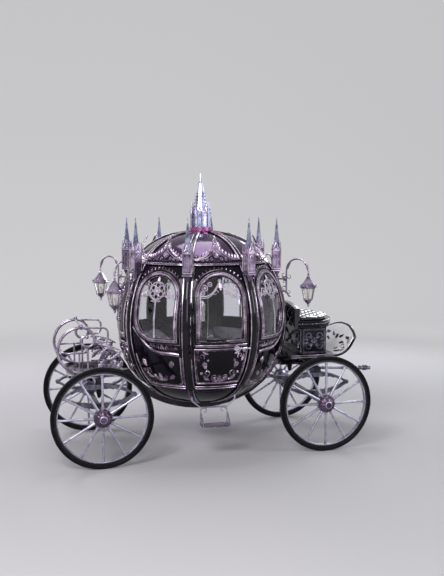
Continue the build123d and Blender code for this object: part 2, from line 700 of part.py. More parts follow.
# levels of the undercarriage, from the springs up
BOLSTER_Z = SPRING_TOP_Z + SEAT_GAP
BOLSTER_TOP_Z = BOLSTER_Z + BOLSTER_HEIGHT
LOWER_RING_TOP_Z = BOLSTER_TOP_Z + RING_THICKNESS
UPPER_RING_Z = LOWER_RING_TOP_Z + RING_GAP
REACH_Z = UPPER_RING_Z + RING_THICKNESS


def bolster(x, low, high, half_length):
    return block((x - BOLSTER_WIDTH / 2.0, x + BOLSTER_WIDTH / 2.0),
                 (-half_length, half_length), (low, high))


# perch: the curved beam under the cabin, its arms, the rear bolster and the upper turntable ring
curve = band(-BEAM_STANDOFF - BEAM_DEPTH, -BEAM_STANDOFF, BEAM_WIDTH, 0.0, PLATFORM_Z - SEAT_GAP)
rear_curve = curve & slice_z(0.0, BOLSTER_TOP_Z)
arm_half = BEAM_WIDTH / 2.0
beam_reach = cabin_radius(BOLSTER_TOP_Z, -BEAM_STANDOFF)
rear_arm = block((REAR_AXLE_X, -beam_reach - 5.0), (-arm_half, arm_half), (BOLSTER_Z, BOLSTER_TOP_Z))
front_arm = block((cabin_radius(PLATFORM_Z, -BEAM_STANDOFF) + 8.0, PLATFORM_FRONT_X),
                  (-arm_half, arm_half), (REACH_Z, PLATFORM_Z - SEAT_GAP))
saddles = []
for sign in (-1.0, 1.0):
    pad = band(-BEAM_STANDOFF - 1.0, -SEAT_GAP, SADDLE_WIDTH, 0.0, FAR)
    pad = pad & block((SADDLE_NEAR_X, SADDLE_FAR_X), (-FAR, FAR), (0.0, CABIN_MID_Z))
    saddles.append(turned(pad, 0.0 if sign > 0 else 180.0))
perch = fuse(
    curve, turned(rear_curve, 180.0), rear_arm, front_arm,
    bolster(REAR_AXLE_X, BOLSTER_Z, BOLSTER_TOP_Z, BOLSTER_HALF_LENGTH),
    bolster(FRONT_AXLE_X, REACH_Z, PLATFORM_Z - SEAT_GAP, PLATFORM_HALF_WIDTH - 20.0),
    ring(RING_OUTER_R, RING_INNER_R, UPPER_RING_Z, REACH_Z, FRONT_AXLE_X), *saddles)
king_top = PLATFORM_Z - KINGPIN_COVER
king_bore = Pos(FRONT_AXLE_X, 0, (REACH_Z + king_top) / 2.0)
perch = perch - king_bore * Cylinder(KINGPIN_R + PIN_CLEARANCE, king_top - REACH_Z + 2.0 * KINGPIN_END_PLAY)
parts["perch"] = perch

# turning fore-carriage: bolster, lower ring, futchells, pole ears and kingpin
futchell_x = (FRONT_AXLE_X - RING_OUTER_R + 8.0, POLE_HINGE_X + 45.0)
ear_inner = POLE_EYE_HALF + 1.5
ear_outer = ear_inner + EAR_THICKNESS
fore = [
    bolster(FRONT_AXLE_X, BOLSTER_Z, BOLSTER_TOP_Z, BOLSTER_HALF_LENGTH),
    ring(RING_OUTER_R, RING_INNER_R, BOLSTER_TOP_Z, LOWER_RING_TOP_Z, FRONT_AXLE_X),
    Pos(FRONT_AXLE_X, 0, (BOLSTER_Z + king_top) / 2.0) * Cylinder(KINGPIN_R, king_top - BOLSTER_Z),
    rod((POLE_HINGE_X, -ear_outer, POLE_HINGE_Z), (POLE_HINGE_X, ear_outer, POLE_HINGE_Z), POLE_PIN_R),
]
for low, high in ((ear_inner, ear_outer), (-ear_outer, -ear_inner)):
    fore.append(block(futchell_x, (low, high), (BOLSTER_TOP_Z - FUTCHELL_DEPTH, BOLSTER_TOP_Z)))
    fore.append(block((FRONT_AXLE_X + RING_OUTER_R - 2.0 * EAR_HALF, FRONT_AXLE_X + RING_OUTER_R),
                      (low, high), (BOLSTER_TOP_Z - FUTCHELL_DEPTH / 2.0, BOLSTER_TOP_Z)))
    fore.append(block((POLE_HINGE_X + 40.0, FRONT_AXLE_X + RING_OUTER_R), (low, high),
                      (BOLSTER_TOP_Z - FUTCHELL_DEPTH / 2.0, BOLSTER_TOP_Z)))
    fore.append(block((POLE_HINGE_X - EAR_HALF, POLE_HINGE_X + EAR_HALF), (low, high),
                      (POLE_HINGE_Z - EAR_HALF, BOLSTER_TOP_Z)))
parts["fore_carriage"] = fuse(*fore)

# pole: eye, tube and a socketed ferrule
droop = math.radians(POLE_DROOP_DEG)
pole_dir = Vector(math.cos(droop), 0, -math.sin(droop))
hinge = Vector(POLE_HINGE_X, 0, POLE_HINGE_Z)
pole_length = (POLE_TIP_X - POLE_HINGE_X - FERRULE_R * math.sin(droop)) / math.cos(droop)
tip = hinge + pole_dir * pole_length
ferrule_start = hinge + pole_dir * (pole_length - FERRULE_LENGTH)
eye = rod((POLE_HINGE_X, -POLE_EYE_HALF, POLE_HINGE_Z), (POLE_HINGE_X, POLE_EYE_HALF, POLE_HINGE_Z),
          POLE_EYE_R)
pole = fuse(eye, rod(hinge, ferrule_start + pole_dir * 5.0, POLE_R))
pole = pole - rod((POLE_HINGE_X, -60.0, POLE_HINGE_Z), (POLE_HINGE_X, 60.0, POLE_HINGE_Z),
                  POLE_PIN_R + PIN_CLEARANCE)
pole = pole + rod(ferrule_start, tip, FERRULE_R)
pole = pole - rod(tip - pole_dir * SOCKET_DEPTH, tip + pole_dir * 5.0, SOCKET_R)
parts["pole"] = pole

# driver's platform, dash, box and seat
platform_top = PLATFORM_Z + PLATFORM_THICKNESS
platform_rear_x = math.sqrt(cabin_radius(PLATFORM_Z) ** 2 - PLATFORM_HALF_WIDTH ** 2) - PLATFORM_LAP
platform = block((platform_rear_x, PLATFORM_FRONT_X), (-PLATFORM_HALF_WIDTH, PLATFORM_HALF_WIDTH),
                 (PLATFORM_Z, platform_top))
parts["driver_platform"] = platform - globe(-RIB_PROUD - 2.0 - SEAT_GAP)
lean = math.radians(DASH_LEAN_DEG)
dash_mid_z = PLATFORM_Z + DASH_THICKNESS / 2.0
turn_end = (PLATFORM_FRONT_X + DASH_RADIUS * math.sin(lean),
            dash_mid_z + DASH_RADIUS * (1.0 - math.cos(lean)))
turn_mid = (PLATFORM_FRONT_X + DASH_RADIUS * math.sin(lean / 2.0),
            dash_mid_z + DASH_RADIUS * (1.0 - math.cos(lean / 2.0)))
dash_end = (turn_end[0] + DASH_RISE * math.cos(lean), turn_end[1] + DASH_RISE * math.sin(lean))
dash_path = Wire([
    Edge.make_three_point_arc((PLATFORM_FRONT_X + SEAT_GAP, 0, dash_mid_z),
                              (turn_mid[0], 0, turn_mid[1]), (turn_end[0], 0, turn_end[1])),
    Edge.make_line((turn_end[0], 0, turn_end[1]), (dash_end[0], 0, dash_end[1])),
])
dash_section = Plane(origin=dash_path @ 0, x_dir=(0, 1, 0), z_dir=(1, 0, 0))
dash = sweep(dash_section * Rectangle(2.0 * PLATFORM_HALF_WIDTH, DASH_THICKNESS), path=dash_path)
w = PLATFORM_HALF_WIDTH
dash_outline = Face(Wire([
    Edge.make_line((0, -w, 0), (0, w, 0)),
    Edge.make_line((0, w, 0), (0, w, DASH_CORNER_Z)),
    Edge.make_three_point_arc((0, w, DASH_CORNER_Z), (0, 0, DASH_TOP_Z), (0, -w, DASH_CORNER_Z)),
    Edge.make_line((0, -w, DASH_CORNER_Z), (0, -w, 0)),
]))
parts["dash"] = dash & extrude(dash_outline, FAR, dir=(1, 0, 0))
parts["driver_box"] = block((BOX_REAR_X, BOX_FRONT_X), (-BOX_HALF_WIDTH, BOX_HALF_WIDTH),
                            (platform_top, BOX_TOP_Z))


def seat_plan(inset, low, high):
    """The seat's plan: straight back and sides and a bowed front, given a height."""
    w = SEAT_HALF_WIDTH - inset
    rear = SEAT_REAR_X + inset
    front = SEAT_FRONT_X - inset
    outline = Face(Wire([
        Edge.make_line((rear, w, low), (rear, -w, low)),
        Edge.make_line((rear, -w, low), (SEAT_SIDE_X, -w, low)),
        Edge.make_three_point_arc((SEAT_SIDE_X, -w, low), (front, 0, low), (SEAT_SIDE_X, w, low)),
        Edge.make_line((SEAT_SIDE_X, w, low), (rear, w, low)),
    ]))
    return extrude(outline, high - low, dir=(0, 0, 1))


parts["seat_rim"] = seat_plan(0.0, BOX_TOP_Z, SEAT_RIM_TOP_Z)
parts["seat_cushion"] = seat_plan(SEAT_CUSHION_INSET, SEAT_RIM_TOP_Z + SEAT_GAP, SEAT_CUSHION_TOP_Z)
backrest_plan = block((SEAT_REAR_X - BACKREST_THICKNESS, SEAT_REAR_X + BACKREST_LAP),
                      (-SEAT_HALF_WIDTH, SEAT_HALF_WIDTH), (BOX_TOP_Z, BACKREST_TOP_Z))
s = SEAT_HALF_WIDTH
back_outline = Face(Wire([
    Edge.make_line((0, -s, 0), (0, s, 0)),
    Edge.make_line((0, s, 0), (0, s, BACKREST_END_Z)),
    Edge.make_three_point_arc((0, s, BACKREST_END_Z), (0, 0, BACKREST_TOP_Z), (0, -s, BACKREST_END_Z)),
    Edge.make_line((0, -s, BACKREST_END_Z), (0, -s, 0)),
]))
backrest = backrest_plan & extrude(back_outline, FAR, dir=(1, 0, 0))
backrest = backrest - seat_plan(-SEAT_GAP, BOX_TOP_Z - 1.0, SEAT_RIM_TOP_Z + SEAT_GAP)
cushion_room = seat_plan(SEAT_CUSHION_INSET - SEAT_GAP, SEAT_RIM_TOP_Z, SEAT_CUSHION_TOP_Z + 1.0)
parts["seat_back"] = backrest - cushion_room

# rear board, its two scrolls and the luggage rail
board_z = BOLSTER_TOP_Z + SEAT_GAP
board_top = board_z + BOARD_THICKNESS
board = block((BOARD_REAR_X, BOARD_FRONT_X), (-BOARD_HALF_WIDTH, BOARD_HALF_WIDTH),
              (board_z, board_top))
board = fillet(board.edges().filter_by(Axis.Z).sort_by(Axis.X)[:2], BOARD_CORNER_R)
parts["rear_board"] = board


def arc_tube(centre, radius, start_deg, end_deg, y, r):
    """A round tube along an arc in an upright plane, angles counted from +X towards +Z."""
    points = []
    for degrees in (start_deg, (start_deg + end_deg) / 2.0, end_deg):
        a = math.radians(degrees)
        points.append((centre[0] + radius * math.cos(a), y, centre[1] + radius * math.sin(a)))
    path = Edge.make_three_point_arc(*points)
    return sweep(Plane(origin=path @ 0, z_dir=path % 0) * Circle(r), path=path)


scroll_bottom = board_top + SCROLL_TUBE_R
scroll_mid = scroll_bottom + SCROLL_R
scroll_top = scroll_mid + SCROLL_R
curl_z = scroll_top - CURL_R
eye_x = SCROLL_X + CURL_R - EYE_R
tail_x = eye_x - EYE_R + TAIL_R
# each arc of a scroll: centre, radius, start and end angle
SCROLL_ARCS = [
    ((SCROLL_X, scroll_mid), SCROLL_R, 270.0, 90.0),
    ((SCROLL_X, curl_z), CURL_R, 90.0, 0.0),
    ((eye_x, curl_z), EYE_R, 0.0, -180.0),
    ((tail_x, curl_z), TAIL_R, 180.0, 60.0),
]


def scroll(y):
    pieces = [arc_tube(c, r, a, b, y, SCROLL_TUBE_R) for c, r, a, b in SCROLL_ARCS]
    end_a = math.radians(60.0)
    bud = (tail_x + TAIL_R * math.cos(end_a), y, curl_z + TAIL_R * math.sin(end_a))
    pieces.append(Pos(*bud) * Sphere(SCROLL_TUBE_R * 1.3))
    rail = [(SCROLL_X, y, scroll_top), (SCROLL_X + ARM_LENGTH, y, scroll_top - ARM_FALL),
            (SCROLL_X + ARM_LENGTH, y, curl_z - ARM_LOW), (SCROLL_X + CURL_R, y, curl_z - ARM_LOW)]
    pieces.append(tube(rail, ARM_BEND_R, RAIL_TUBE_R))
    pieces.append(rod((eye_x, y, board_top + SEAT_GAP), (eye_x, y, curl_z - EYE_R), RAIL_TUBE_R))
    pieces.append(rod((SCROLL_X, y, board_top + SEAT_GAP), (SCROLL_X, y, scroll_bottom), SCROLL_TUBE_R))
    return fuse(*pieces)


cross_bar = rod((SCROLL_X, -SCROLL_Y, scroll_top), (SCROLL_X, SCROLL_Y, scroll_top), RAIL_TUBE_R)
rail_front_x = eye_x
rail_rear_x = SCROLL_X - SCROLL_R + RAIL_END_IN
rack = []
loop = [(rail_front_x, 0, RAIL_Z), (rail_front_x, -SCROLL_Y, RAIL_Z), (rail_rear_x, -SCROLL_Y, RAIL_Z),
        (rail_rear_x, 0, RAIL_Z)]
rack.append(tube(loop, RAIL_BEND_R, RAIL_TUBE_R))
rack.append(tube([(x, -y, z) for x, y, z in loop], RAIL_BEND_R, RAIL_TUBE_R))
post_x = eye_x - POST_SPACING
for y in (-SCROLL_Y, SCROLL_Y):
    rack.append(rod((post_x, y, board_top + SEAT_GAP), (post_x, y, RAIL_Z), RAIL_TUBE_R))
parts["rear_scrolls"] = fuse(scroll(-SCROLL_Y), scroll(SCROLL_Y), cross_bar, *rack)

# lanterns on their brackets, drawn for the front right and copied
front_rib = math.radians(RIB_STEP_DEG / 2.0)
foot_r = cabin_radius(LAMP_EAVES_Z) - BRACKET_FOOT_BURY
foot_xy = (foot_r * math.cos(front_rib), foot_r * math.sin(front_rib))
lamp_x, lamp_y = foot_xy[0] + LAMP_AHEAD, foot_xy[1] + LAMP_ASIDE
run = math.hypot(LAMP_AHEAD, LAMP_ASIDE)
run_dir = (LAMP_AHEAD / run, LAMP_ASIDE / run)


def on_bracket(along, z):
    return (foot_xy[0] + run_dir[0] * along, foot_xy[1] + run_dir[1] * along, z)


stem_at = BRACKET_STEM_AT
arch_r = (run - stem_at) / 2.0
arch_z = LAMP_PEAK_Z + BRACKET_ARCH_RISE
arch_points = [on_bracket(stem_at, arch_z), on_bracket(stem_at + arch_r, arch_z + arch_r),
               on_bracket(run, arch_z)]
arch_path = Edge.make_three_point_arc(*arch_points)
strut_z = TURRET_LEDGE_Z - TURRET_CORBEL - BRACKET_STRUT_DROP
bracket = fuse(
    sweep(Plane(origin=arch_path @ 0, z_dir=arch_path % 0) * Circle(BRACKET_TUBE_R), path=arch_path),
    rod(on_bracket(stem_at, BRACKET_STEM_LOW_Z), on_bracket(stem_at, arch_z), BRACKET_TUBE_R),
    rod(on_bracket(-BRACKET_SINK, strut_z), on_bracket(stem_at, strut_z), BRACKET_TUBE_R),
    rod(on_bracket(-BRACKET_SINK, BRACKET_ARM_Z), on_bracket(stem_at, BRACKET_ARM_Z), BRACKET_TUBE_R),
    rod(on_bracket(run, LAMP_PEAK_Z + SEAT_GAP), on_bracket(run, arch_z), BRACKET_TUBE_R * 0.8),
    Pos(*on_bracket(stem_at, BRACKET_STEM_LOW_Z)) * Sphere(BRACKET_TUBE_R * 1.5))
bracket = bracket - turned(blade(-RIB_PROUD - SEAT_GAP, CUT_WIDTH), RIB_STEP_DEG / 2.0)


def lamp_prism(low, high, r_low, r_high):
    """A flat-sided body of the lantern on its axis."""
    return Pos(lamp_x, lamp_y, 0) * prism_taper(LAMP_SIDES, low, high, r_low, r_high)


roof = lamp_prism(LAMP_EAVES_Z, LAMP_PEAK_Z, LAMP_EAVES_R, LAMP_BRIM)
brim = lamp_prism(LAMP_EAVES_Z - LAMP_BRIM, LAMP_EAVES_Z, LAMP_EAVES_R, LAMP_EAVES_R)
cup_z = LAMP_BOTTOM_Z - LAMP_CUP
cup = lamp_prism(cup_z, LAMP_BOTTOM_Z, LAMP_CUP_R, LAMP_BOTTOM_R)
drop = cone((lamp_x, lamp_y, LAMP_FINIAL_Z), (lamp_x, lamp_y, cup_z), LAMP_BAR_R, LAMP_DROP_R)
bars = []
for i in range(LAMP_SIDES):
    a = math.radians(360.0 / LAMP_SIDES * i)
    ends = []
    for r, z in ((LAMP_BOTTOM_R * LAMP_BAR_SHARE, LAMP_BOTTOM_Z - LAMP_BAR_R),
                 (LAMP_TOP_R, LAMP_EAVES_Z - LAMP_BRIM + LAMP_BAR_R)):
        ends.append((lamp_x + r * math.cos(a), lamp_y + r * math.sin(a), z))
    bars.append(rod(*ends, LAMP_BAR_R))
lamp = fuse(roof, brim, cup, drop, *bars)
pane_low, pane_high = LAMP_BOTTOM_Z + SEAT_GAP, LAMP_EAVES_Z - LAMP_BRIM - SEAT_GAP
glass_low_r, glass_high_r = LAMP_BOTTOM_R - LAMP_GLASS_IN, LAMP_TOP_R - LAMP_GLASS_IN
lamp_glass = lamp_prism(pane_low, pane_high, glass_low_r, glass_high_r)
lamp_glass = lamp_glass - lamp_prism(pane_low - 1.0, pane_high + 1.0,
                                     glass_low_r - LAMP_GLASS, glass_high_r - LAMP_GLASS)


def four_corners(shape):
    front = both_sides(shape)
    return front + [mirror(s, Plane.YZ) for s in front]


parts["lamp_brackets"] = four_corners(bracket)
parts["lamp_frames"] = four_corners(lamp)
parts["lamp_glass"] = four_corners(lamp_glass)

# steps under the doors
step_half = STEP_WIDTH / 2.0
tread = block((-step_half, step_half), (-STEP_Y, -STEP_Y + STEP_DEPTH), (STEP_Z, STEP_Z + TREAD_THICKNESS))
hanger_y = -STEP_Y + STEP_DEPTH
tread_mid = STEP_Z + TREAD_THICKNESS / 2.0
root_r = cabin_radius(STEP_ROOT_Z) - STEP_ROOT_BURY
step_pieces = [tread]
for sign in (-1.0, 1.0):
    x_foot = sign * (step_half - STEP_TUBE_R)
    anchor_x = sign * STEP_ANCHOR_X
    root_x = anchor_x * 0.95
    knee = (x_foot, hanger_y - HANGER_LEAN, STEP_TOP_Z - HANGER_DROP)
    route = [(x_foot, -STEP_Y + STEP_TUBE_R, tread_mid), knee, (x_foot, hanger_y, STEP_TOP_Z),
             (anchor_x, hanger_y + HANGER_OFFSET, STEP_ANCHOR_Z),
             (root_x, -math.sqrt(root_r ** 2 - root_x ** 2), STEP_ROOT_Z)]
    step_pieces.append(tube(route, HANGER_BEND_R, STEP_TUBE_R))
    step_pieces.append(rod((x_foot, hanger_y - STEP_TUBE_R, tread_mid), knee, STEP_TUBE_R))
step_pieces.append(rod((-step_half + STEP_TUBE_R, hanger_y, STEP_TOP_Z),
                       (step_half - STEP_TUBE_R, hanger_y, STEP_TOP_Z), STEP_TUBE_R))
step = fuse(*step_pieces) - globe(-RIB_PROUD - SEAT_GAP)
parts["steps"] = both_sides(step)


def as_solids(shape):
    shapes = shape if isinstance(shape, list) else [shape]
    solids = []
    for one in shapes:
        solids.extend(one.solids())
    return solids


os.makedirs("parts", exist_ok=True)
for name, shape in parts.items():
    solids = [Pos(-ORIGIN_X, 0, 0) * s for s in as_solids(shape)]
    body = solids[0] if len(solids) == 1 else Compound(children=solids)
    export_step(body, "parts/" + name + ".step")
    print(name, len(solids), round(sum(s.volume for s in solids) / 1000.0, 1), "cm3")
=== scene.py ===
"""Dresses the horse-drawn carriage: mouldings, carving, upholstery, fittings, finishes, light and camera.

Metres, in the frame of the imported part: +X forward, +Y to the left, +Z up, ground at z = 0.
Every new surface is worked out with numpy as whole arrays of points.
"""
import json
import math

import bpy
import numpy as np
from bpy.props import FloatProperty, FloatVectorProperty, PointerProperty
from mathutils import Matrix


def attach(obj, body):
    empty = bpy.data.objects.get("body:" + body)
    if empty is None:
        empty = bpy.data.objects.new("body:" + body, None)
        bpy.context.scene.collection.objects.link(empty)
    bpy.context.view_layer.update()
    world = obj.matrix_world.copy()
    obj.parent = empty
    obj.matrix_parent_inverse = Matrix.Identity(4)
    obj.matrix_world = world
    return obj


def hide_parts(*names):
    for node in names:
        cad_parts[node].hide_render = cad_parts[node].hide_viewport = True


bl_info = {
    "name": "Horse-drawn carriage dressing",
    "version": (1, 0, 0),
    "blender": (4, 5, 0),
    "location": "3D View > Sidebar > Carriage",
    "description": "Adds mouldings, carving, upholstery and finishes to the packed carriage",
    "category": "Object",
}

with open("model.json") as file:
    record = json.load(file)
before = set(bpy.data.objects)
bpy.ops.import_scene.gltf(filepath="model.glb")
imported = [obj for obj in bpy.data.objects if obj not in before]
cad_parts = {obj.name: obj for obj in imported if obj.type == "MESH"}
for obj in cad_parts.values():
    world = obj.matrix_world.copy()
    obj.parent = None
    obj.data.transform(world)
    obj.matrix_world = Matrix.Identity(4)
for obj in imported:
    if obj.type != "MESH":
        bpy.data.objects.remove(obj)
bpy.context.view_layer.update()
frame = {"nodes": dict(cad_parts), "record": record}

# the cabin's outline, as in the part: five tangent arcs of (radius, height)
AXIS_X = -0.19325
HALF_WIDTH = 1.0
MID_Z = 1.5
TOP_Z = 2.553
KEEL_Z = 0.513
SIDE_R = 1.25
CROWN_R = 1.31
KEEL_R = 1.18
UPPER_R = 0.75
LOWER_R = 0.85
# ribs, the bays between them, and the windows
RIB_PROUD = 0.015
BAY_AZIMUTHS = [45.0 * i for i in range(8)]
RIB_AZIMUTHS = [22.5 + azimuth for azimuth in BAY_AZIMUTHS]
WINDOW_HALF = 0.24
WINDOW_SILL_Z = 1.4
WINDOW_TOP_Z = 2.08
WINDOW_SWEEP_R = 0.22
CASING_PROUD = 0.009
CORNICE_TOP_Z = 2.236
TURRET_X = 0.905
# wheels, and the radius up to which their rims are bright
WHEEL_X = {"front": 1.10775, "rear": -1.47775}
WHEEL_Y = 0.797
WHEEL_Z = 0.56
RIM_BRIGHT_R = 0.4935
# elliptic springs: middle height, half length, half height of the outer leaf, place across
SPRING_MID_Z = 0.7273
SPRING_HALF = 0.4
SPRING_RISE = 0.13
SPRING_Y = 0.45
# the pole's droop in degrees and its hinge
POLE_DROOP = 2.8
POLE_HINGE = (1.23175, 0.0, 0.824)
# rear scroll arms and board, their x counted from the cabin's axis
SCROLL_X = -1.465
SCROLL_Y = 0.35
SCROLL_R = 0.258
BOARD_TOP_Z = 0.9599
# the driver's box: middle, half length and half width to its faces, x counted from the cabin's axis
BOX_X = 1.295
BOX_HALF_LENGTH = 0.1555
BOX_HALF_WIDTH = 0.4205
BOX_Z = (1.095, 1.38)
# the dash: foot (x counted from the cabin's axis, height), radius and angle of its turn, straight
# rise after it, half width, height of its top and of that top's arch
DASH_FOOT = (1.55, 1.051)
DASH_TURN_R = 0.25
DASH_LEAN = math.radians(60.0)
DASH_RISE = 0.22
DASH_HALF = 0.45
DASH_TOP_Z = 1.375
DASH_ARCH = 0.11
# a lantern's bracket foot and the lantern, at the front left, counted from the cabin's axis
BRACKET_FOOT = np.array([0.85, 0.352])
LAMP_AT = np.array([1.122, 0.657])
# a door handle's place across the door and its height, and the hinge pins
HANDLE_AT = (0.17, 1.292)
HINGE_PIN = (-0.532219, -0.971211)
HINGE_HEIGHTS = (1.27, 1.5, 1.73)
BOTH_SIDES = (-1.0, 1.0)


# outline


def meeting_centre(c1, r1, c2, r2, upper):
    """The point at distance r1 from c1 and r2 from c2: the upper or the lower of the two."""
    d = np.subtract(c2, c1)
    gap = np.hypot(*d)
    along = (r1 * r1 - r2 * r2 + gap * gap) / (2 * gap)
    across = math.sqrt(r1 * r1 - along * along)
    base = np.add(c1, along * d / gap)
    side = across * np.array([-d[1], d[0]]) / gap
    pair = (base + side, base - side)
    return max(pair, key=lambda c: c[1]) if upper else min(pair, key=lambda c: c[1])


def outline_table(per_arc=400):
    """Radius, height, normal and length along the cabin's outline, from its keel to its crown."""
    side = (HALF_WIDTH - SIDE_R, MID_Z)
    crown = (0, TOP_Z - CROWN_R)
    keel = (0, KEEL_Z + KEEL_R)
    upper = meeting_centre(side, SIDE_R - UPPER_R, crown, CROWN_R - UPPER_R, True)
    lower = meeting_centre(side, SIDE_R - LOWER_R, keel, KEEL_R - LOWER_R, False)

    def angle(a, b):
        return math.atan2(b[1] - a[1], b[0] - a[0])

    stops = [-math.pi / 2, angle(keel, lower), angle(side, lower), angle(side, upper),
             angle(crown, upper), math.pi / 2]
    rows = []
    for centre, radius, start, end in zip((keel, lower, side, upper, crown),
                                          (KEEL_R, LOWER_R, SIDE_R, UPPER_R, CROWN_R),
                                          stops[:-1], stops[1:]):
        a = np.linspace(start, end, per_arc)[:-1]
        rows.append(np.stack([centre[0] + radius * np.cos(a), centre[1] + radius * np.sin(a),
                              np.cos(a), np.sin(a)], 1))
    rows.append(np.array([[0, TOP_Z, 0, 1]]))
    table = np.concatenate(rows)
    step = np.hypot(*np.diff(table[:, :2], axis=0).T)
    return np.column_stack([table, np.concatenate([[0], np.cumsum(step)])])


OUTLINE = outline_table()


def cabin_at(z):
    """Radius and normal (outward, up) of the cabin at a height."""
    return [np.interp(z, OUTLINE[:, 1], OUTLINE[:, k]) for k in (0, 2, 3)]


def turned(points, degrees):
    """Points turned about the cabin's upright axis, which then goes to its place."""
    a = math.radians(degrees)
    x = points[..., 0] * math.cos(a) - points[..., 1] * math.sin(a) + AXIS_X
    y = points[..., 0] * math.sin(a) + points[..., 1] * math.cos(a)
    return np.stack([x, y, points[..., 2]], -1)


def on_cabin(flat, azimuth):
    """Lays flat points (across, height, lift) on the cabin: the surface point at that distance
    across the face and that height, raised by the lift along the surface's normal."""
    across, z, lift = flat[..., 0], flat[..., 1], flat[..., 2]
    r, nr, nz = cabin_at(z)
    x = np.sqrt(np.maximum(r * r - across * across, 1e-6))
    out = np.stack([x + lift * nr * x / r, across + lift * nr * across / r, z + lift * nz], -1)
    return turned(out, azimuth)


def meridian(azimuth, z_low, z_high, count, lift=0, sideways=0):
    """Evenly spaced points on a meridian between two heights, with the normals there."""
    s_low, s_high = np.interp((z_low, z_high), OUTLINE[:, 1], OUTLINE[:, 4])
    s = np.linspace(s_low, s_high, count)
    r, z, nr, nz = [np.interp(s, OUTLINE[:, 4], OUTLINE[:, k]) for k in range(4)]
    points = np.stack([r + lift * nr, np.full_like(r, sideways), z + lift * nz], -1)
    normals = turned(np.stack([nr, 0 * nr, nz], -1), azimuth) - np.array([AXIS_X, 0, 0])
    return turned(points, azimuth), normals


# shapes


def turns(count):
    """Even angles round a full turn."""
    return np.linspace(0, 2 * np.pi, count, endpoint=False)


def arc_radius(half, rise):
    """Radius of an arc over a chord of twice the half, which it passes by the rise."""
    return (half * half + rise * rise) / (2 * rise)


def outward(shape):
    """A closed shape (points, faces of four, faces of three) with its faces turned outwards:
    its signed volume is made positive."""
    v, q, t = shape
    tri = np.concatenate([q[:, [0, 1, 2]], q[:, [0, 2, 3]], t])
    a, b, c = v[tri[:, 0]], v[tri[:, 1]], v[tri[:, 2]]
    if np.einsum("ij,ij->", a - v.mean(0), np.cross(b - v.mean(0), c - v.mean(0))) < 0:
        q, t = q[:, ::-1], t[:, ::-1]
    return v, q, t


def bent(shape, place):
    """The shape with its points put through place, and its faces turned outwards again."""
    v, q, t = shape
    return outward((place(v), q, t))


def grid_quads(rows, columns, wrap_rows=False, wrap_columns=False):
    """Faces of four over a grid of points numbered row by row."""
    i = np.arange(rows if wrap_rows else rows - 1)
    j = np.arange(columns if wrap_columns else columns - 1)
    i, j = [k.ravel() for k in np.meshgrid(i, j, indexing="ij")]
    i2, j2 = (i + 1) % rows, (j + 1) % columns
    return np.stack([i * columns + j, i2 * columns + j, i2 * columns + j2, i * columns + j2], 1)


def skin(points, wrap_rows=False):
    """A closed shape over rings of points (ring, place on ring, xyz). Open ends close on a
    middle point each, or the last ring joins the first."""
    rings, around = points.shape[:2]
    v = points.reshape(-1, 3)
    q = grid_quads(rings, around, wrap_rows, True)
    t = np.zeros((0, 3), int)
    if not wrap_rows:
        k = np.arange(around)
        k2 = (k + 1) % around
        last = (rings - 1) * around
        n = len(v)
        v = np.concatenate([v, points[0].mean(0)[None], points[-1].mean(0)[None]])
        t = np.concatenate([np.stack([np.full(around, n), k, k2], 1),
                            np.stack([np.full(around, n + 1), last + k2, last + k], 1)])
    return outward((v, q, t))


def frames(path, up, closed=False):
    """Side and lift directions along a path: side = up x tangent, lift = tangent x side."""
    if closed:
        tangent = np.roll(path, -1, 0) - np.roll(path, 1, 0)
    else:
        tangent = np.gradient(path, axis=0)
    tangent = tangent / np.linalg.norm(tangent, axis=1, keepdims=True)
    side = np.cross(np.broadcast_to(np.asarray(up, float), path.shape), tangent)
    side = side / np.maximum(np.linalg.norm(side, axis=1, keepdims=True), 1e-9)
    return side, np.cross(tangent, side)


def tube(path, radius, up=(0, 0, 1), sides=8, flat=1, closed=False):
    """A round or flattened tube: circle of the given radius carried along the path."""
    path = np.asarray(path, float)
    side, lift = frames(path, up, closed)
    a = turns(sides)
    r = np.broadcast_to(np.asarray(radius, float), (len(path),))[:, None, None]
    ring = np.cos(a)[None, :, None] * side[:, None] + flat * np.sin(a)[None, :, None] * lift[:, None]
    return skin(path[:, None] + r * ring, wrap_rows=closed)


def strip(path, profile, up=(0, 0, 1), closed=False):
    """A closed profile of (sideways, lift) points carried along a path."""
    path, profile = np.asarray(path, float), np.asarray(profile, float)
    side, lift = frames(path, up, closed)
    points = path[:, None] + profile[None, :, :1] * side[:, None] + profile[None, :, 1:] * lift[:, None]
    return skin(points, wrap_rows=closed)


def lathe(profile, steps=24, centre=(0, 0, 0), axis="z", lobes=0, depth=0):
    """A turned body: (radius, distance) profile spun round an axis, with optional lobes
    radius x (1 + depth cos(lobes x angle))."""
    profile = np.asarray(profile, float)
    a = turns(steps)
    wave = 1 + depth * np.cos(lobes * a)
    r = np.maximum(profile[:, :1], 1e-5) * wave[None]
    p = np.stack([r * np.cos(a), r * np.sin(a), np.broadcast_to(profile[:, 1:], r.shape)], -1)
    if axis == "y":
        p = p[..., [0, 2, 1]]
    if axis == "x":
        p = p[..., [2, 0, 1]]
    return skin(p + np.asarray(centre, float))


def ball(radius, rings=4, steps=6):
    """A small ball of few faces: rings of latitude between two poles."""
    a = np.linspace(0, np.pi, rings + 1)[1:-1]
    return lathe(np.stack([radius * np.sin(a), -radius * np.cos(a)], 1), steps)


def copies(shape, places, scales=None):
    """The shape repeated at each of the given places, each with its own scale."""
    v, q, t = shape
    places = np.asarray(places, float)
    n, m = len(places), len(v)
    s = np.ones(n) if scales is None else np.asarray(scales, float)
    points = (v[None] * s[:, None, None] + places[:, None]).reshape(-1, 3)
    shift = (np.arange(n) * m)[:, None, None]
    return points, (q[None] + shift).reshape(-1, 4), (t[None] + shift).reshape(-1, 3)


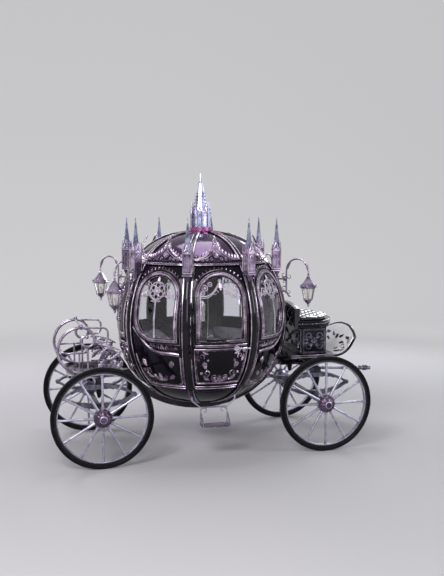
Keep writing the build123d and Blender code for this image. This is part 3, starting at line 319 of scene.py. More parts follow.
def moved(shape, matrix=None, shift=(0, 0, 0)):
    """The shape with its points multiplied by a 3 x 3 matrix and shifted."""
    v, q, t = shape
    if matrix is not None:
        v = v @ np.asarray(matrix, float).T
        if np.linalg.det(matrix) < 0:
            q, t = q[:, ::-1], t[:, ::-1]
    return v + np.asarray(shift, float), q, t


def turn_matrix(axis, degrees):
    """Matrix of a turn about x, y or z."""
    c, s = math.cos(math.radians(degrees)), math.sin(math.radians(degrees))
    i, j = {"x": (1, 2), "y": (2, 0), "z": (0, 1)}[axis]
    m = np.eye(3)
    m[i, i], m[i, j], m[j, i], m[j, j] = c, -s, s, c
    return m


MIRROR_X = np.diag([-1.0, 1.0, 1.0])
MIRROR_Y = np.diag([1.0, -1.0, 1.0])
MIRROR_Z = np.diag([1.0, 1.0, -1.0])


def join(shapes):
    """Several shapes as one."""
    count = np.cumsum([0] + [len(s[0]) for s in shapes[:-1]])
    return (np.concatenate([s[0] for s in shapes]),
            np.concatenate([s[1] + n for s, n in zip(shapes, count)]),
            np.concatenate([s[2] + n for s, n in zip(shapes, count)]))


def joined(parts):
    """Makes a function that yields shapes give them as one."""
    def whole(*values):
        return join(list(parts(*values)))
    return whole


def laid(shape, azimuth):
    """A flat-drawn shape (across, height, lift) bent onto the cabin's surface."""
    return bent(shape, lambda v: on_cabin(v, azimuth))


def stood(shape, x=0):
    """A flat-drawn shape (across, height, lift) stood in the YZ plane at x."""
    return bent(shape, lambda v: v[:, [2, 0, 1]] + [x, 0, 0])


def box(x, y, z):
    """A plain block from its low and high values."""
    v = np.array([(a, b, c) for a in x for b in y for c in z], float)
    q = np.array([(0, 1, 3, 2), (4, 6, 7, 5), (0, 4, 5, 1), (2, 3, 7, 6), (0, 2, 6, 4), (1, 5, 7, 3)])
    return outward((v, q, np.zeros((0, 3), int)))


def piece(name, shape, material, slot, body="carriage", angle=35, bevel=0):
    """Makes the mesh object of a shape, smooth below the given angle: its finish and the body that it
    rides on. The slot, the record's material slot that it stands for, is not used."""
    v, q, t = shape
    mesh = bpy.data.meshes.new(name)
    mesh.vertices.add(len(v))
    mesh.vertices.foreach_set("co", v.astype(np.float32).ravel())
    loops = np.concatenate([q.ravel(), t.ravel()])
    mesh.loops.add(len(loops))
    mesh.loops.foreach_set("vertex_index", loops.astype(np.int32))
    total = np.concatenate([np.full(len(q), 4), np.full(len(t), 3)])
    mesh.polygons.add(len(total))
    mesh.polygons.foreach_set("loop_start", (np.cumsum(total) - total).astype(np.int32))
    mesh.polygons.foreach_set("use_smooth", np.ones(len(total), bool))
    mesh.update(calc_edges=True)
    mesh.validate()
    mesh.set_sharp_from_angle(angle=math.radians(angle))
    mesh.materials.append(MATERIALS[material])
    obj = bpy.data.objects.new(name, mesh)
    bpy.context.scene.collection.objects.link(obj)
    if bevel > 0:
        mod = obj.modifiers.new("Bevel", "BEVEL")
        mod.width = bevel
        mod.segments = 2
        mod.limit_method = "ANGLE"
    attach(obj, body)
    return obj


# flat ornament


def arch_line(half, sill, top, count=24, sweep=0):
    """The outline of a round-arched window: over the arch, down one side, along the sill and up.
    With sweep 1 or -1 the lower corner on that side is one wide sweep into the sill."""
    spring = top - half
    a = np.linspace(0, np.pi, count)
    arch = np.stack([half * np.cos(a), spring + half * np.sin(a)], 1)
    r = WINDOW_SWEEP_R if sweep else 0
    rise = np.linspace(0, 1, 8)[1:-1]
    left = np.stack([np.full(6, -half), spring + (sill + r - spring) * rise], 1)
    corner = np.array([[-half, sill]])
    if sweep:
        b = np.linspace(np.pi, 1.5 * np.pi, 14)
        corner = np.stack([r - half + r * np.cos(b), sill + r + r * np.sin(b)], 1)
    right = np.stack([np.full(6, half), sill + (spring - sill) * rise], 1)
    line = np.concatenate([arch, left, corner, [[0.5 * half, sill]], [[half, sill]], right])
    return line * np.array([-1, 1]) if sweep > 0 else line


def grown(line, distance):
    """A closed flat line moved outwards by a distance, with its corners mitred."""
    edge = np.roll(line, -1, 0) - line
    edge = edge / np.linalg.norm(edge, axis=1, keepdims=True)
    normal = np.stack([edge[:, 1], -edge[:, 0]], 1)
    before = np.roll(normal, 1, 0)
    mitre = (before + normal) / (1 + np.sum(before * normal, axis=1, keepdims=True))
    area = np.sum(line[:, 0] * np.roll(line[:, 1], -1) - line[:, 1] * np.roll(line[:, 0], -1))
    return line + distance * mitre * (1 if area > 0 else -1)


def spread(line, step, closed=True):
    """Points along a line at an even step."""
    line = np.asarray(line, float)
    ends = np.concatenate([line, line[:1]]) if closed else line
    length = np.concatenate([[0], np.cumsum(np.linalg.norm(np.diff(ends, axis=0), axis=1))])
    count = max(int(round(length[-1] / step)), 3)
    s = np.linspace(0, length[-1], count, endpoint=not closed)
    return np.stack([np.interp(s, length, ends[:, k]) for k in range(line.shape[1])], 1)


def lifted(line, lift):
    """Flat (across, height) points given a lift."""
    return np.column_stack([line, np.full(len(line), lift)])


def roll_on(line, radius, lift, azimuth, closed=True, sides=8, flat=1):
    """A half-sunk roll moulding along a flat line, laid on the cabin."""
    return laid(tube(lifted(line, lift), radius, sides=sides, flat=flat, closed=closed), azimuth)


def bead_row(line, radius, lift, azimuth, step, closed=True):
    """A row of beads along a flat line on the cabin."""
    spots = on_cabin(lifted(spread(line, step, closed), lift), azimuth)
    return copies(ball(radius), spots)


def spiral(centre, r_start, r_end, a_start, a_end, count=26):
    """A flat spiral: its radius runs evenly from one value to the other over the turn."""
    a = np.radians(np.linspace(a_start, a_end, count))
    r = np.linspace(r_start, r_end, count)
    return np.stack([centre[0] + r * np.cos(a), centre[1] + r * np.sin(a)], 1)


def curl(centre, r_start, r_end, a_start, a_end, width, lift=0, flat=0.8):
    """A carved volute: a spiral stem that thins towards its eye and ends in a bead."""
    line = spiral(centre, r_start, r_end, a_start, a_end)
    w = np.linspace(width, 0.45 * width, len(line))
    stem = tube(lifted(line, lift), w, sides=6, flat=flat)
    eye = moved(ball(0.9 * width, 4, 8), np.diag([1, 1, 0.8]), (*line[-1], lift))
    return join([stem, eye])


def leaf(base, length, width, angle, bend=0.4, lobes=4, height=0.01, lift=0):
    """A carved acanthus leaf: a midrib bent to one side, edges waved into lobes, a raised middle
    and rim. Half width = width x sin(pi t)^0.7 x (1 + 0.25 cos(2 pi lobes t))."""
    t = np.linspace(0, 1, 4 * lobes + 5)
    a = math.radians(angle) + bend * np.pi * t * t
    step = length / (len(t) - 1)
    spine = np.stack([base[0] + np.cumsum(step * np.cos(a)), base[1] + np.cumsum(step * np.sin(a))], 1)
    half = width * np.sin(np.pi * (0.04 + 0.94 * t)) ** 0.7 * (1 + 0.25 * np.cos(2 * np.pi * lobes * t))
    across = np.array([-1, -0.75, -0.4, 0, 0.4, 0.75, 1, 0.5, -0.5])
    rise = np.array([0.25, 0.75, 0.45, 1, 0.45, 0.75, 0.25, 0, 0])
    normal = np.stack([-np.sin(a), np.cos(a)], 1)
    flat = spine[:, None] + across[None, :, None] * half[:, None, None] * normal[:, None]
    z = lift + rise[None] * height * (0.5 + 0.5 * np.sin(np.pi * t)[:, None])
    return skin(np.concatenate([flat, z[..., None]], -1))


def rosette(centre, radius, petals=6, height=0.008, lift=0):
    """A carved flower: a low dome whose radius and height wave with its petals."""
    a = turns(petals * 6)
    rows = []
    for share, rise in ((1, 0), (1, 0.5), (0.7, 1), (0.35, 0.55), (0.25, 1.1), (0.1, 1.3)):
        wave = 1 + (0.22 * np.cos(petals * a) if share > 0.3 else 0)
        r = radius * share * wave
        rows.append(np.stack([centre[0] + r * np.cos(a), centre[1] + r * np.sin(a),
                              np.full_like(a, lift + rise * height)], -1))
    return skin(np.stack(rows))


def ring_line(centre, radius, count=24):
    """A flat circle."""
    a = turns(count)
    return np.stack([centre[0] + radius * np.cos(a), centre[1] + radius * np.sin(a)], 1)


def flat_bar(line, radius, lift=0, sides=6, closed=False, flat=1):
    """A tracery bar along a flat line."""
    return tube(lifted(np.asarray(line, float), lift), radius, sides=sides, closed=closed, flat=flat)


# finishes


def set_sockets(tree, node, sockets):
    """Fills a node's inputs: another node's output is linked, a plain value is set."""
    for key, value in sockets.items():
        if isinstance(value, bpy.types.NodeSocket):
            tree.links.new(value, node.inputs[key])
        else:
            node.inputs[key].default_value = value


def add(tree, kind, sockets, out=0, **settings):
    """Adds a shader node with its settings and inputs, and gives one of its outputs."""
    node = tree.nodes.new("ShaderNode" + kind)
    for name, value in settings.items():
        setattr(node, name, value)
    set_sockets(tree, node, sockets)
    return node.outputs[out]


def object_coords(tree):
    """Object coordinates, the same for every finish."""
    return add(tree, "TexCoord", {}, "Object")


def math_of(tree, operation, a, b):
    """Result of a sum, product or comparison of two values."""
    return add(tree, "Math", {0: a, 1: b}, operation=operation)


def mixed(tree, share, first, second):
    """A colour between two, by the share of the second."""
    return add(tree, "Mix", {0: share, 6: first, 7: second}, 2, data_type="RGBA")


def ranged(tree, value, low, high, to_low=0, to_high=1, **settings):
    """A value's place between low and high, carried to a place between two others."""
    return add(tree, "MapRange", {"Value": value, "From Min": low, "From Max": high, "To Min": to_low,
                                  "To Max": to_high}, "Result", **settings)


def bump(tree, height, strength, distance):
    """A normal that a height bends."""
    return add(tree, "Bump", {"Height": height, "Strength": strength, "Distance": distance})


def node_group(name, inputs, output, kind):
    """A shader group with named inputs and one output: its tree, its inputs as seen from inside
    and the node that takes what it gives."""
    tree = bpy.data.node_groups.new(name, "ShaderNodeTree")
    for label, value in inputs.items():
        of_colour = isinstance(value, tuple)
        socket = tree.interface.new_socket(name=label, in_out="INPUT",
                                           socket_type="NodeSocketColor" if of_colour else "NodeSocketFloat")
        socket.default_value = value
    tree.interface.new_socket(name=output, in_out="OUTPUT", socket_type=kind)
    return tree, tree.nodes.new("NodeGroupInput").outputs, tree.nodes.new("NodeGroupOutput")


def noise_in(tree, scale, detail):
    """Noise on Object coordinates."""
    return add(tree, "TexNoise", {"Vector": object_coords(tree), "Scale": scale, "Detail": detail}, "Fac")


def make_mottle_group():
    """Two tones mixed by a soft noise, with a fine film of dust on faces that look up."""
    tree, given, sink = node_group(
        "mottled_tone", {"Dark": (0, 0, 0, 1), "Light": (1, 1, 1, 1), "Scale": 8, "Dust": 0.1},
        "Color", "NodeSocketColor")
    share = ranged(tree, noise_in(tree, given["Scale"], 4), 0.38, 0.66)
    tone = mixed(tree, share, given["Dark"], given["Light"])
    up = add(tree, "SeparateXYZ", {0: add(tree, "NewGeometry", {}, "Normal")}, "Z")
    film = math_of(tree, "MULTIPLY", ranged(tree, up, 0.55, 1), given["Dust"])
    set_sockets(tree, sink, {"Color": mixed(tree, film, tone, (0.3, 0.28, 0.3, 1))})


def make_polish_group():
    """Roughness that wanders between two values, as a hand-rubbed finish does."""
    tree, given, sink = node_group("rubbed_polish", {"Low": 0.1, "High": 0.2, "Scale": 6},
                                   "Roughness", "NodeSocketFloat")
    noise = noise_in(tree, given["Scale"], 6)
    set_sockets(tree, sink, {"Roughness": ranged(tree, noise, 0.35, 0.65, given["Low"], given["High"])})


def make_ripple_group():
    """A fine unevenness of the surface: a bump from noise."""
    tree, given, sink = node_group("fine_ripple", {"Scale": 60, "Strength": 0.1, "Distance": 0.001},
                                   "Normal", "NodeSocketVector")
    noise = noise_in(tree, given["Scale"], 3)
    set_sockets(tree, sink, {"Normal": bump(tree, noise, given["Strength"], given["Distance"])})


def use_group(tree, name, **values):
    """Places a shared group in a material with its own values, and gives its output."""
    return add(tree, "Group", values, node_tree=bpy.data.node_groups[name])


def mottle(tree, dark, light, scale, dust):
    """The mottled tone's colour between two."""
    return use_group(tree, "mottled_tone", Dark=(*dark, 1), Light=(*light, 1), Scale=scale, Dust=dust)


def polish(tree, low, high, scale):
    """The rubbed polish's roughness between two."""
    return use_group(tree, "rubbed_polish", Low=low, High=high, Scale=scale)


def ripple(tree, scale, strength, distance):
    """The fine ripple's normal."""
    return use_group(tree, "fine_ripple", Scale=scale, Strength=strength, Distance=distance)


def new_material(name):
    """The node tree of a new material, which MATERIALS keeps by its name."""
    MATERIALS[name] = bpy.data.materials.new(name)
    MATERIALS[name].use_nodes = True
    return MATERIALS[name].node_tree


def shade(tree, sockets):
    """Fills the inputs of a material's Principled shader."""
    set_sockets(tree, tree.nodes["Principled BSDF"], sockets)


def finish_material(name, dark, light, metallic, rough, coat, scale, waves, dust):
    """A painted, plated or turned surface: mottled tone, rubbed polish and a fine ripple."""
    tree = new_material(name)
    shade(tree, {"Base Color": mottle(tree, dark, light, scale, dust),
                 "Roughness": polish(tree, *rough, scale * 0.7),
                 "Normal": ripple(tree, 60, waves, 0.001),
                 "Metallic": metallic,
                 "Coat Weight": coat,
                 "Coat Roughness": 0.04,
                 "Specular IOR Level": DEEP_GLOSS.get(name, 0.5)})


def paint_rims(tree):
    """Blackens what lies further from the nearer axle than the rim's bright inner edge, in the
    plane of the wheels."""
    flat = add(tree, "VectorMath", {0: object_coords(tree), 1: (1, 0, 1)}, operation="MULTIPLY")
    away = [add(tree, "VectorMath", {0: flat, 1: (x, 0, WHEEL_Z)}, "Value", operation="DISTANCE")
            for x in WHEEL_X.values()]
    rim = math_of(tree, "GREATER_THAN", math_of(tree, "MINIMUM", *away), RIM_BRIGHT_R)
    tone = tree.nodes["Principled BSDF"].inputs["Base Color"].links[0].from_socket
    shade(tree, {"Base Color": mixed(tree, rim, tone, (0.01, 0.009, 0.013, 1))})


def glass_material(name, colour, rough):
    """Clear plate glass with a faint tint."""
    tree = new_material(name)
    shade(tree, {"Base Color": (*colour, 1), "Roughness": rough, "Transmission Weight": 1,
                 "IOR": 1.45, "Normal": ripple(tree, 3, 0.02, 0.002)})


def cloth_material(name, dark, light, band_scale, sheen):
    """Woven cloth: crossed wave bands raise the threads over a mottled tone."""
    tree = new_material(name)
    waves = [add(tree, "TexWave", {"Vector": object_coords(tree), "Scale": band_scale, "Distortion": 0.6},
                 "Fac", bands_direction=direction) for direction in ("X", "Z")]
    shade(tree, {"Base Color": mottle(tree, dark, light, 14, 0.02),
                 "Normal": bump(tree, math_of(tree, "ADD", *waves), 0.35, 0.0006),
                 "Roughness": 0.75, "Sheen Weight": sheen})


def leather_material(name, dark, light):
    """Polished hide: fine cell grain raised over a mottled tone, under a light wax coat."""
    tree = new_material(name)
    cells = add(tree, "TexVoronoi", {"Vector": object_coords(tree), "Scale": 420}, "Distance")
    shade(tree, {"Base Color": mottle(tree, dark, light, 12, 0.03),
                 "Roughness": polish(tree, 0.14, 0.28, 9),
                 "Normal": bump(tree, cells, 0.25, 0.0008),
                 "Coat Weight": 0.5, "Coat Roughness": 0.12})


def wood_material(name, dark, light):
    """Dark oiled boards: stretched noise for the grain."""
    tree = new_material(name)
    along = add(tree, "Mapping", {"Vector": object_coords(tree), "Scale": (2, 30, 30)})
    grain = add(tree, "TexNoise", {"Vector": along, "Scale": 3, "Detail": 8}, "Fac")
    shade(tree, {"Base Color": mixed(tree, grain, (*dark, 1), (*light, 1)),
                 "Roughness": polish(tree, 0.35, 0.5, 10)})


# name, dark tone, light tone, metallic, roughness low and high, coat, noise scale, ripple, dust
FINISHES = [
    ("cabin_lacquer", (0.004, 0.003, 0.007), (0.009, 0.007, 0.015), 0.05, (0.05, 0.11), 0, 3, 0.02, 0.01),
    ("dome_lacquer", (0.036, 0.018, 0.052), (0.085, 0.042, 0.115), 0.7, (0.07, 0.14), 0.25, 2.5, 0.02, 0.03),
    ("rib_lacquer", (0.005, 0.004, 0.008), (0.01, 0.008, 0.015), 0.05, (0.08, 0.15), 0, 5, 0.02, 0.01),
    ("moulding_metal", (0.25, 0.19, 0.27), (0.74, 0.63, 0.76), 1, (0.18, 0.32), 0.3, 9, 0.05, 0.03),
    ("tracery_metal", (0.5, 0.44, 0.54), (0.78, 0.71, 0.8), 0.6, (0.22, 0.36), 0.2, 9, 0.05, 0.04),
    ("carving_lacquer", (0.12, 0.085, 0.13), (0.62, 0.5, 0.64), 0.95, (0.16, 0.3), 0.5, 12, 0.06, 0.03),
    ("handle_metal", (0.5, 0.46, 0.56), (0.74, 0.69, 0.79), 1, (0.14, 0.26), 0.2, 8, 0.03, 0.03),
    ("collar_enamel", (0.26, 0.05, 0.2), (0.44, 0.11, 0.34), 0.4, (0.15, 0.25), 0.3, 10, 0.04, 0.05),
    ("spire_metal", (0.15, 0.16, 0.28), (0.52, 0.53, 0.72), 0.85, (0.2, 0.34), 0.5, 11, 0.06, 0.04),
    ("turret_metal", (0.05, 0.036, 0.07), (0.32, 0.24, 0.38), 0.9, (0.18, 0.32), 0.5, 12, 0.06, 0.05),
    ("running_gear", (0.01, 0.009, 0.013), (0.034, 0.028, 0.042), 0.3, (0.15, 0.3), 0.2, 8, 0.05, 0.08),
    ("spring_steel", (0.09, 0.09, 0.12), (0.25, 0.25, 0.32), 0.85, (0.24, 0.38), 0.2, 14, 0.08, 0.08),
    ("pole_metal", (0.16, 0.14, 0.22), (0.36, 0.32, 0.46), 0.7, (0.22, 0.34), 0.3, 9, 0.05, 0.06),
    ("box_lacquer", (0.005, 0.004, 0.008), (0.011, 0.009, 0.016), 0.05, (0.06, 0.14), 0, 4, 0.02, 0.02),
    # the dash lining is pale pearl, and its near-white tone is also a painted reflection of bright light
    ("dash_pearl_painted_reflection", (0.78, 0.78, 0.82), (0.92, 0.92, 0.95), 0.15, (0.08, 0.16), 1, 3, 0.02, 0.02),
    ("scroll_metal", (0.2, 0.16, 0.24), (0.5, 0.43, 0.56), 0.8, (0.2, 0.34), 0.4, 9, 0.05, 0.05),
    ("lamp_metal", (0.17, 0.13, 0.21), (0.5, 0.41, 0.56), 0.85, (0.16, 0.28), 0.4, 12, 0.05, 0.05),
    ("step_metal", (0.24, 0.21, 0.28), (0.47, 0.43, 0.53), 0.8, (0.24, 0.38), 0.2, 10, 0.06, 0.08),
    ("wheel_metal", (0.38, 0.37, 0.48), (0.62, 0.6, 0.73), 0.65, (0.2, 0.34), 0.4, 9, 0.04, 0.05),
    ("hub_enamel", (0.055, 0.03, 0.065), (0.16, 0.095, 0.175), 0.6, (0.14, 0.26), 0.3, 10, 0.05, 0.05),
    ("tyre_rubber", (0.004, 0.004, 0.005), (0.01, 0.009, 0.011), 0, (0.36, 0.52), 0, 20, 0.12, 0.05),
    ("candle_wax", (0.8, 0.74, 0.62), (0.88, 0.84, 0.74), 0, (0.4, 0.55), 0, 8, 0.03, 0.06),
]
# specular level of the finishes that stay black under the pale paper
DEEP_GLOSS = {"cabin_lacquer": 0.2, "rib_lacquer": 0.28, "box_lacquer": 0.25, "tyre_rubber": 0.15,
              "running_gear": 0.3}
MATERIALS = {}


def make_materials():
    """All the finishes, by the names of the record's material slots and of the added pieces."""
    make_mottle_group()
    make_polish_group()
    make_ripple_group()
    for finish in FINISHES:
        finish_material(*finish)
    paint_rims(MATERIALS["wheel_metal"].node_tree)
    glass_material("window_glass", (0.93, 0.93, 0.97), 0.02)
    glass_material("lamp_glass", (0.95, 0.95, 0.93), 0.08)
    cloth_material("cabin_upholstery", (0.2, 0.2, 0.24), (0.33, 0.32, 0.38), 300, 0.4)
    cloth_material("carpet", (0.05, 0.03, 0.06), (0.09, 0.05, 0.1), 100, 0.6)
    leather_material("seat_leather", (0.006, 0.006, 0.008), (0.015, 0.014, 0.018))
    wood_material("floor_wood", (0.035, 0.022, 0.024), (0.1, 0.065, 0.06))


def dress_nodes():
    """Gives each node of the part the finish of its slot. Only the hinges are painted over, with
    the ribs that carry them."""
    slots = {row["node"]: row["material_slot"] for row in frame["record"]["subparts"]}
    for node, slot_name in slots.items():
        mesh = frame["nodes"][node].data
        mesh.materials.clear()
        mesh.materials.append(MATERIALS["rib_lacquer" if node == "door_hinges" else slot_name])


# cabin ornament


# a rib's stretches: low and high height, half width of its round band, place of its edge rolls,
# points along it
RIB_STRETCHES = [(0.845, 2.185, 0.036, 0.0475, 40), (2.24, 2.515, 0.019, 0.0275, 18),
                 (0.535, 0.8, 0.019, 0.0275, 18)]


def rib_shapes(settings):
    """Each rib gets a round band down its middle, a roll along each edge and, over the dome, a
    row of beads on both sides of the band."""
    bands, edges, beads = [], [], []
    for azimuth in RIB_AZIMUTHS:
        for z_low, z_high, half, away, count in RIB_STRETCHES:
            line, normals = meridian(azimuth, z_low, z_high, count, RIB_PROUD - 0.001)
            bands.append(tube(line, half, normals, 12, 0.4))
            for side in BOTH_SIDES:
                line, normals = meridian(azimuth, z_low, z_high, count, RIB_PROUD, side * away)
                edges.append(tube(line, 0.0055, normals, 6))
        for side in BOTH_SIDES:
            line = meridian(azimuth, 2.25, 2.5, 300, RIB_PROUD + 0.004, side * 0.0215)[0]
            beads.append(copies(ball(settings.bead_radius), spread(line, settings.bead_step, False)))
    return join(bands), join(edges), join(beads)


def round_cabin(radius, z, count):
    """Points of a level circle about the cabin's upright axis."""
    return lifted(ring_line((AXIS_X, 0), radius, count), z)


def cornice_shapes():
    """Rolls and beads round the cornice, and the sill's rolls."""
    rolls = [tube(round_cabin(cabin_at(z)[0] + lift, z, 180), 0.007, closed=True)
             for z, lift in ((2.197, 0.02), (2.228, 0.016), (0.806, 0.002), (0.834, 0.003))]
    bead_z = 2.212
    beads = copies(ball(0.006), round_cabin(cabin_at(bead_z)[0] + 0.021, bead_z, 400))
    return join(rolls), beads


def on_ring(flat, azimuth, radius, base, lean):
    """Stands flat points (across, height, lift) on a ring round the cabin: the across distance
    becomes an arc and the height leans inwards."""
    angle = flat[..., 0] / radius
    r = radius + flat[..., 2] - lean * (flat[..., 1] - base)
    return turned(np.stack([r * np.cos(angle), r * np.sin(angle), flat[..., 1]], -1), azimuth)


@joined
def cresting_bay():
    """Lace over the cornice in one bay: an ogee gable with trefoils, small arches and a crocketed
    finial."""
    z0 = CORNICE_TOP_Z
    for side in BOTH_SIDES:
        t = np.linspace(0, 1, 18)
        ogee = np.stack([side * (0.3 - 0.3 * t), z0 + 0.018 + 0.15 * t ** 2.4], 1)
        yield flat_bar(ogee, 0.0105)
        inner = np.stack([side * (0.26 - 0.26 * t), z0 + 0.01 + 0.11 * t ** 2.2], 1)
        yield flat_bar(inner, 0.006)
        for k in range(7):
            x = side * (0.275 - 0.038 * k)
            top = z0 + 0.026 + 0.15 * (1 - abs(x) / 0.3) ** 2.4
            yield leaf((x, top), 0.04, 0.013, 90 + 20 * side, -0.35 * side, 2, 0.01)
        for k in range(3):
            yield flat_bar(ring_line((side * (0.16 - 0.05 * k), z0 + 0.016 + 0.006 * k), 0.013, 12),
                           0.0042, closed=True)
    yield flat_bar(ring_line((0, z0 + 0.072), 0.032, 18), 0.007, closed=True)
    yield rosette((0, z0 + 0.072), 0.022, 6, 0.01)
    yield flat_bar([(0, z0 + 0.1), (0, z0 + 0.16), (0, z0 + 0.25)], 0.0085)
    for z, length, width in ((0.13, 0.066, 0.019), (0.172, 0.05, 0.016), (0.205, 0.036, 0.012),
                             (0.23, 0.024, 0.009)):
        for side in BOTH_SIDES:
            yield leaf((0, z0 + z), length, width, 90 - 50 * side, 0.3 * side, 3, 0.01)
    yield moved(ball(0.012, 6, 10), np.diag([1, 1.8, 1]), (0, z0 + 0.258, 0))


def cresting_shapes():
    """The lace of all the bays, leaning inwards over the cornice."""
    bay, radius = cresting_bay(), cabin_at(CORNICE_TOP_Z)[0] + 0.006
    return join([bent(bay, lambda v: on_ring(v, azimuth, radius, CORNICE_TOP_Z, 0.45))
                 for azimuth in BAY_AZIMUTHS])


# rolls round a window: distance out from its edge, radius, whether on the casing
WINDOW_ROLLS = [(0.0655, 0.0028, False), (0.035, 0.0056, True), (0.013, 0.011, True)]
# the dark arch over a window: distance out from its edge, radius
WINDOW_ARCH = (0.05, 0.014)


def window_shapes(azimuth, sweep, casing, settings):
    """Mouldings round one window, on a casing of a given height: its bright rolls and reveal
    roll with the leaves along its arch, the thick dark arch over the casing's edge, and a bead row."""
    line = arch_line(WINDOW_HALF, WINDOW_SILL_Z, WINDOW_TOP_Z, 28, sweep)
    rolls = [roll_on(grown(line, away), radius, 0.002 + casing * cased, azimuth)
             for away, radius, cased in WINDOW_ROLLS]
    rolls.append(roll_on(grown(line, -0.003), 0.005, -0.006, azimuth, sides=6))
    away, radius = WINDOW_ARCH
    arch = roll_on(grown(line, away), radius, 0.5 * casing + 0.003, azimuth, sides=12)
    beads = bead_row(grown(line, 0.027), 0.0036, casing + 0.001, azimuth, settings.bead_step)
    return join(rolls + [laid(arch_leaves(), azimuth)]), arch, beads


@joined
def arch_leaves():
    """Small leaves that stand along the outside of a window's arch."""
    reach = WINDOW_HALF + WINDOW_ARCH[0] + WINDOW_ARCH[1] + 0.004
    spring = WINDOW_TOP_Z - WINDOW_HALF
    for degrees in np.linspace(38, 142, 13):
        a = math.radians(degrees)
        foot = (reach * math.cos(a), spring + reach * math.sin(a))
        lean = degrees + (18 if degrees < 90 else -18)
        yield leaf(foot, 0.026, 0.0085, lean, 0.25 if degrees < 90 else -0.25, 2, 0.008)


# height of the window tracery over the cabin's surface
TRACERY_LIFT = -0.004


def fret(line, radius, closed=False):
    """A flattened bar of window tracery."""
    return flat_bar(line, radius, TRACERY_LIFT, 6, closed, 0.7)


@joined
def side_tracery():
    """Gothic tracery of a side window: a mullion, two lancets, a fretted roundel and leaves."""
    lift, middle = TRACERY_LIFT, 1.915
    yield flat_bar([(0, WINDOW_SILL_Z + 0.002), (0, 1.6), (0, 1.795)], 0.012, lift, 8, flat=0.5)
    yield fret(ring_line((0, middle), 0.098, 30), 0.0075, True)
    yield fret(ring_line((0, middle), 0.03, 16), 0.005, True)
    yield rosette((0, middle), 0.02, 6, 0.006, lift)
    for k in range(6):
        a = math.radians(60 * k + 30)
        petal = (0.063 * math.cos(a), middle + 0.063 * math.sin(a))
        yield fret(ring_line(petal, 0.027, 14), 0.0058, True)
    for side in BOTH_SIDES:
        t = np.linspace(0, 1, 16)
        arc = np.stack([side * 0.232 * t, 1.795 + 0.055 * np.sin(np.pi * t) ** 0.8 + 0.03 * t], 1)
        yield fret(arc, 0.007)
        yield fret(ring_line((side * 0.15, 1.885), 0.04, 16), 0.0055, True)
        yield rosette((side * 0.15, 1.885), 0.017, 5, 0.006, lift)
        yield curl((side * 0.115, 1.975), 0.034, 0.008, 90 - 90 * side,
                   90 + 240 * side, 0.006, lift)
        yield leaf((side * 0.2, 1.835), 0.06, 0.01, 90 - 10 * side, 0.3 * side, 3, 0.006, lift)
        yield leaf((side * 0.01, 1.79), 0.06, 0.009, 90 - 60 * side, -0.3 * side, 3, 0.006, lift)
    yield leaf((0, 2.005), 0.06, 0.016, 90, 0, 3, 0.007, lift)


@joined
def door_tracery():
    """The door window's head: an ogee of two swags hung from a leaf, circles in the spandrels."""
    lift = TRACERY_LIFT
    t = np.linspace(0, 1, 26)
    for side in BOTH_SIDES:
        swag = np.stack([side * 0.23 * t, 2.035 - 0.165 * t ** 0.75 - 0.05 * np.sin(np.pi * t)], 1)
        yield fret(swag, 0.0085)
        yield fret(swag + [side * 0.004, -0.02], 0.0045)
        for x, z, r in ((0.172, 1.955, 0.03), (0.112, 1.995, 0.022), (0.195, 1.9, 0.018)):
            yield fret(ring_line((side * x, z), r, 16), 0.005, True)
            yield rosette((side * x, z), 0.45 * r, 5, 0.006, lift)
        yield curl((side * 0.06, 1.9), 0.036, 0.008, 90 + 80 * side, 90 - 250 * side,
                   0.006, lift)
        yield leaf((side * 0.215, 1.835), 0.075, 0.012, -90 - 14 * side, 0.25 * side, 3, 0.006, lift)
    yield leaf((0, 2.04), 0.105, 0.022, -90, 0, 3, 0.008, lift)
    yield rosette((0, 2.03), 0.02, 6, 0.01, lift)


def panel_half(z, margin):
    """Half the width of a panel or door at a height, a margin in from the ribs' middle planes."""
    half_bay = math.radians(22.5)
    return cabin_at(z)[0] * math.sin(half_bay) - margin * math.cos(half_bay)


def lower_border(z_low, z_high):
    """A closed flat line round the lower panel, following the ribs on both sides: bottom, right
    side, top, left side."""
    z = np.linspace(z_low, z_high, 22)
    half = panel_half(z, BORDER_MARGIN)
    bottom = np.linspace(-half[0], half[0], 9)[1:-1]
    top = np.linspace(half[-1], -half[-1], 9)[1:-1]
    return np.concatenate([np.stack([bottom, np.full(7, z_low)], 1), np.stack([half, z], 1),
                           np.stack([top, np.full(7, z_high)], 1), np.stack([-half[::-1], z[::-1]], 1)])


# volutes of a lower panel: x, height, radius at start and end, angle at start and end, stem
VOLUTES = [
    (0.055, 0.955, 0.046, 0.01, -100, 230, 0.0085), (0.15, 1.01, 0.04, 0.009, 250, -80, 0.008),
    (0.07, 1.085, 0.042, 0.009, -60, 260, 0.008), (0.19, 1.11, 0.038, 0.008, 230, -90, 0.0075),
    (0.11, 1.2, 0.034, 0.008, -80, 240, 0.007), (0.22, 1.205, 0.034, 0.008, 220, -100, 0.007),
]
# leaves of a lower panel: x, height, length, width, angle, bend, lobes
LEAVES = [
    (0.012, 0.895, 0.105, 0.02, 30, 0.35, 4), (0.1, 0.925, 0.105, 0.018, 20, 0.35, 4),
    (0.02, 1.01, 0.095, 0.017, 60, -0.35, 4), (0.15, 1.06, 0.1, 0.018, 50, 0.3, 4),
    (0.03, 1.14, 0.1, 0.017, 65, -0.35, 4), (0.235, 1.14, 0.09, 0.016, 60, 0.25, 4),
    (0.14, 1.235, 0.09, 0.016, 15, 0.3, 4), (0.255, 1.235, 0.06, 0.013, 80, 0.25, 3),
    (0.06, 1.255, 0.09, 0.015, 170, -0.3, 4),
]
# rosettes of a lower panel: x, height, radius
ROSETTES = [(0.205, 1.01, 0.016), (0.15, 1.165, 0.014), (0.105, 0.985, 0.013)]


def door_keeps(x, z):
    """The door's carving lies at its sides and foot, round a plain middle."""
    return abs(x) > 0.13 or z < 0.97


def end_keeps(x, z):
    """The end bays are carved all over."""
    return True


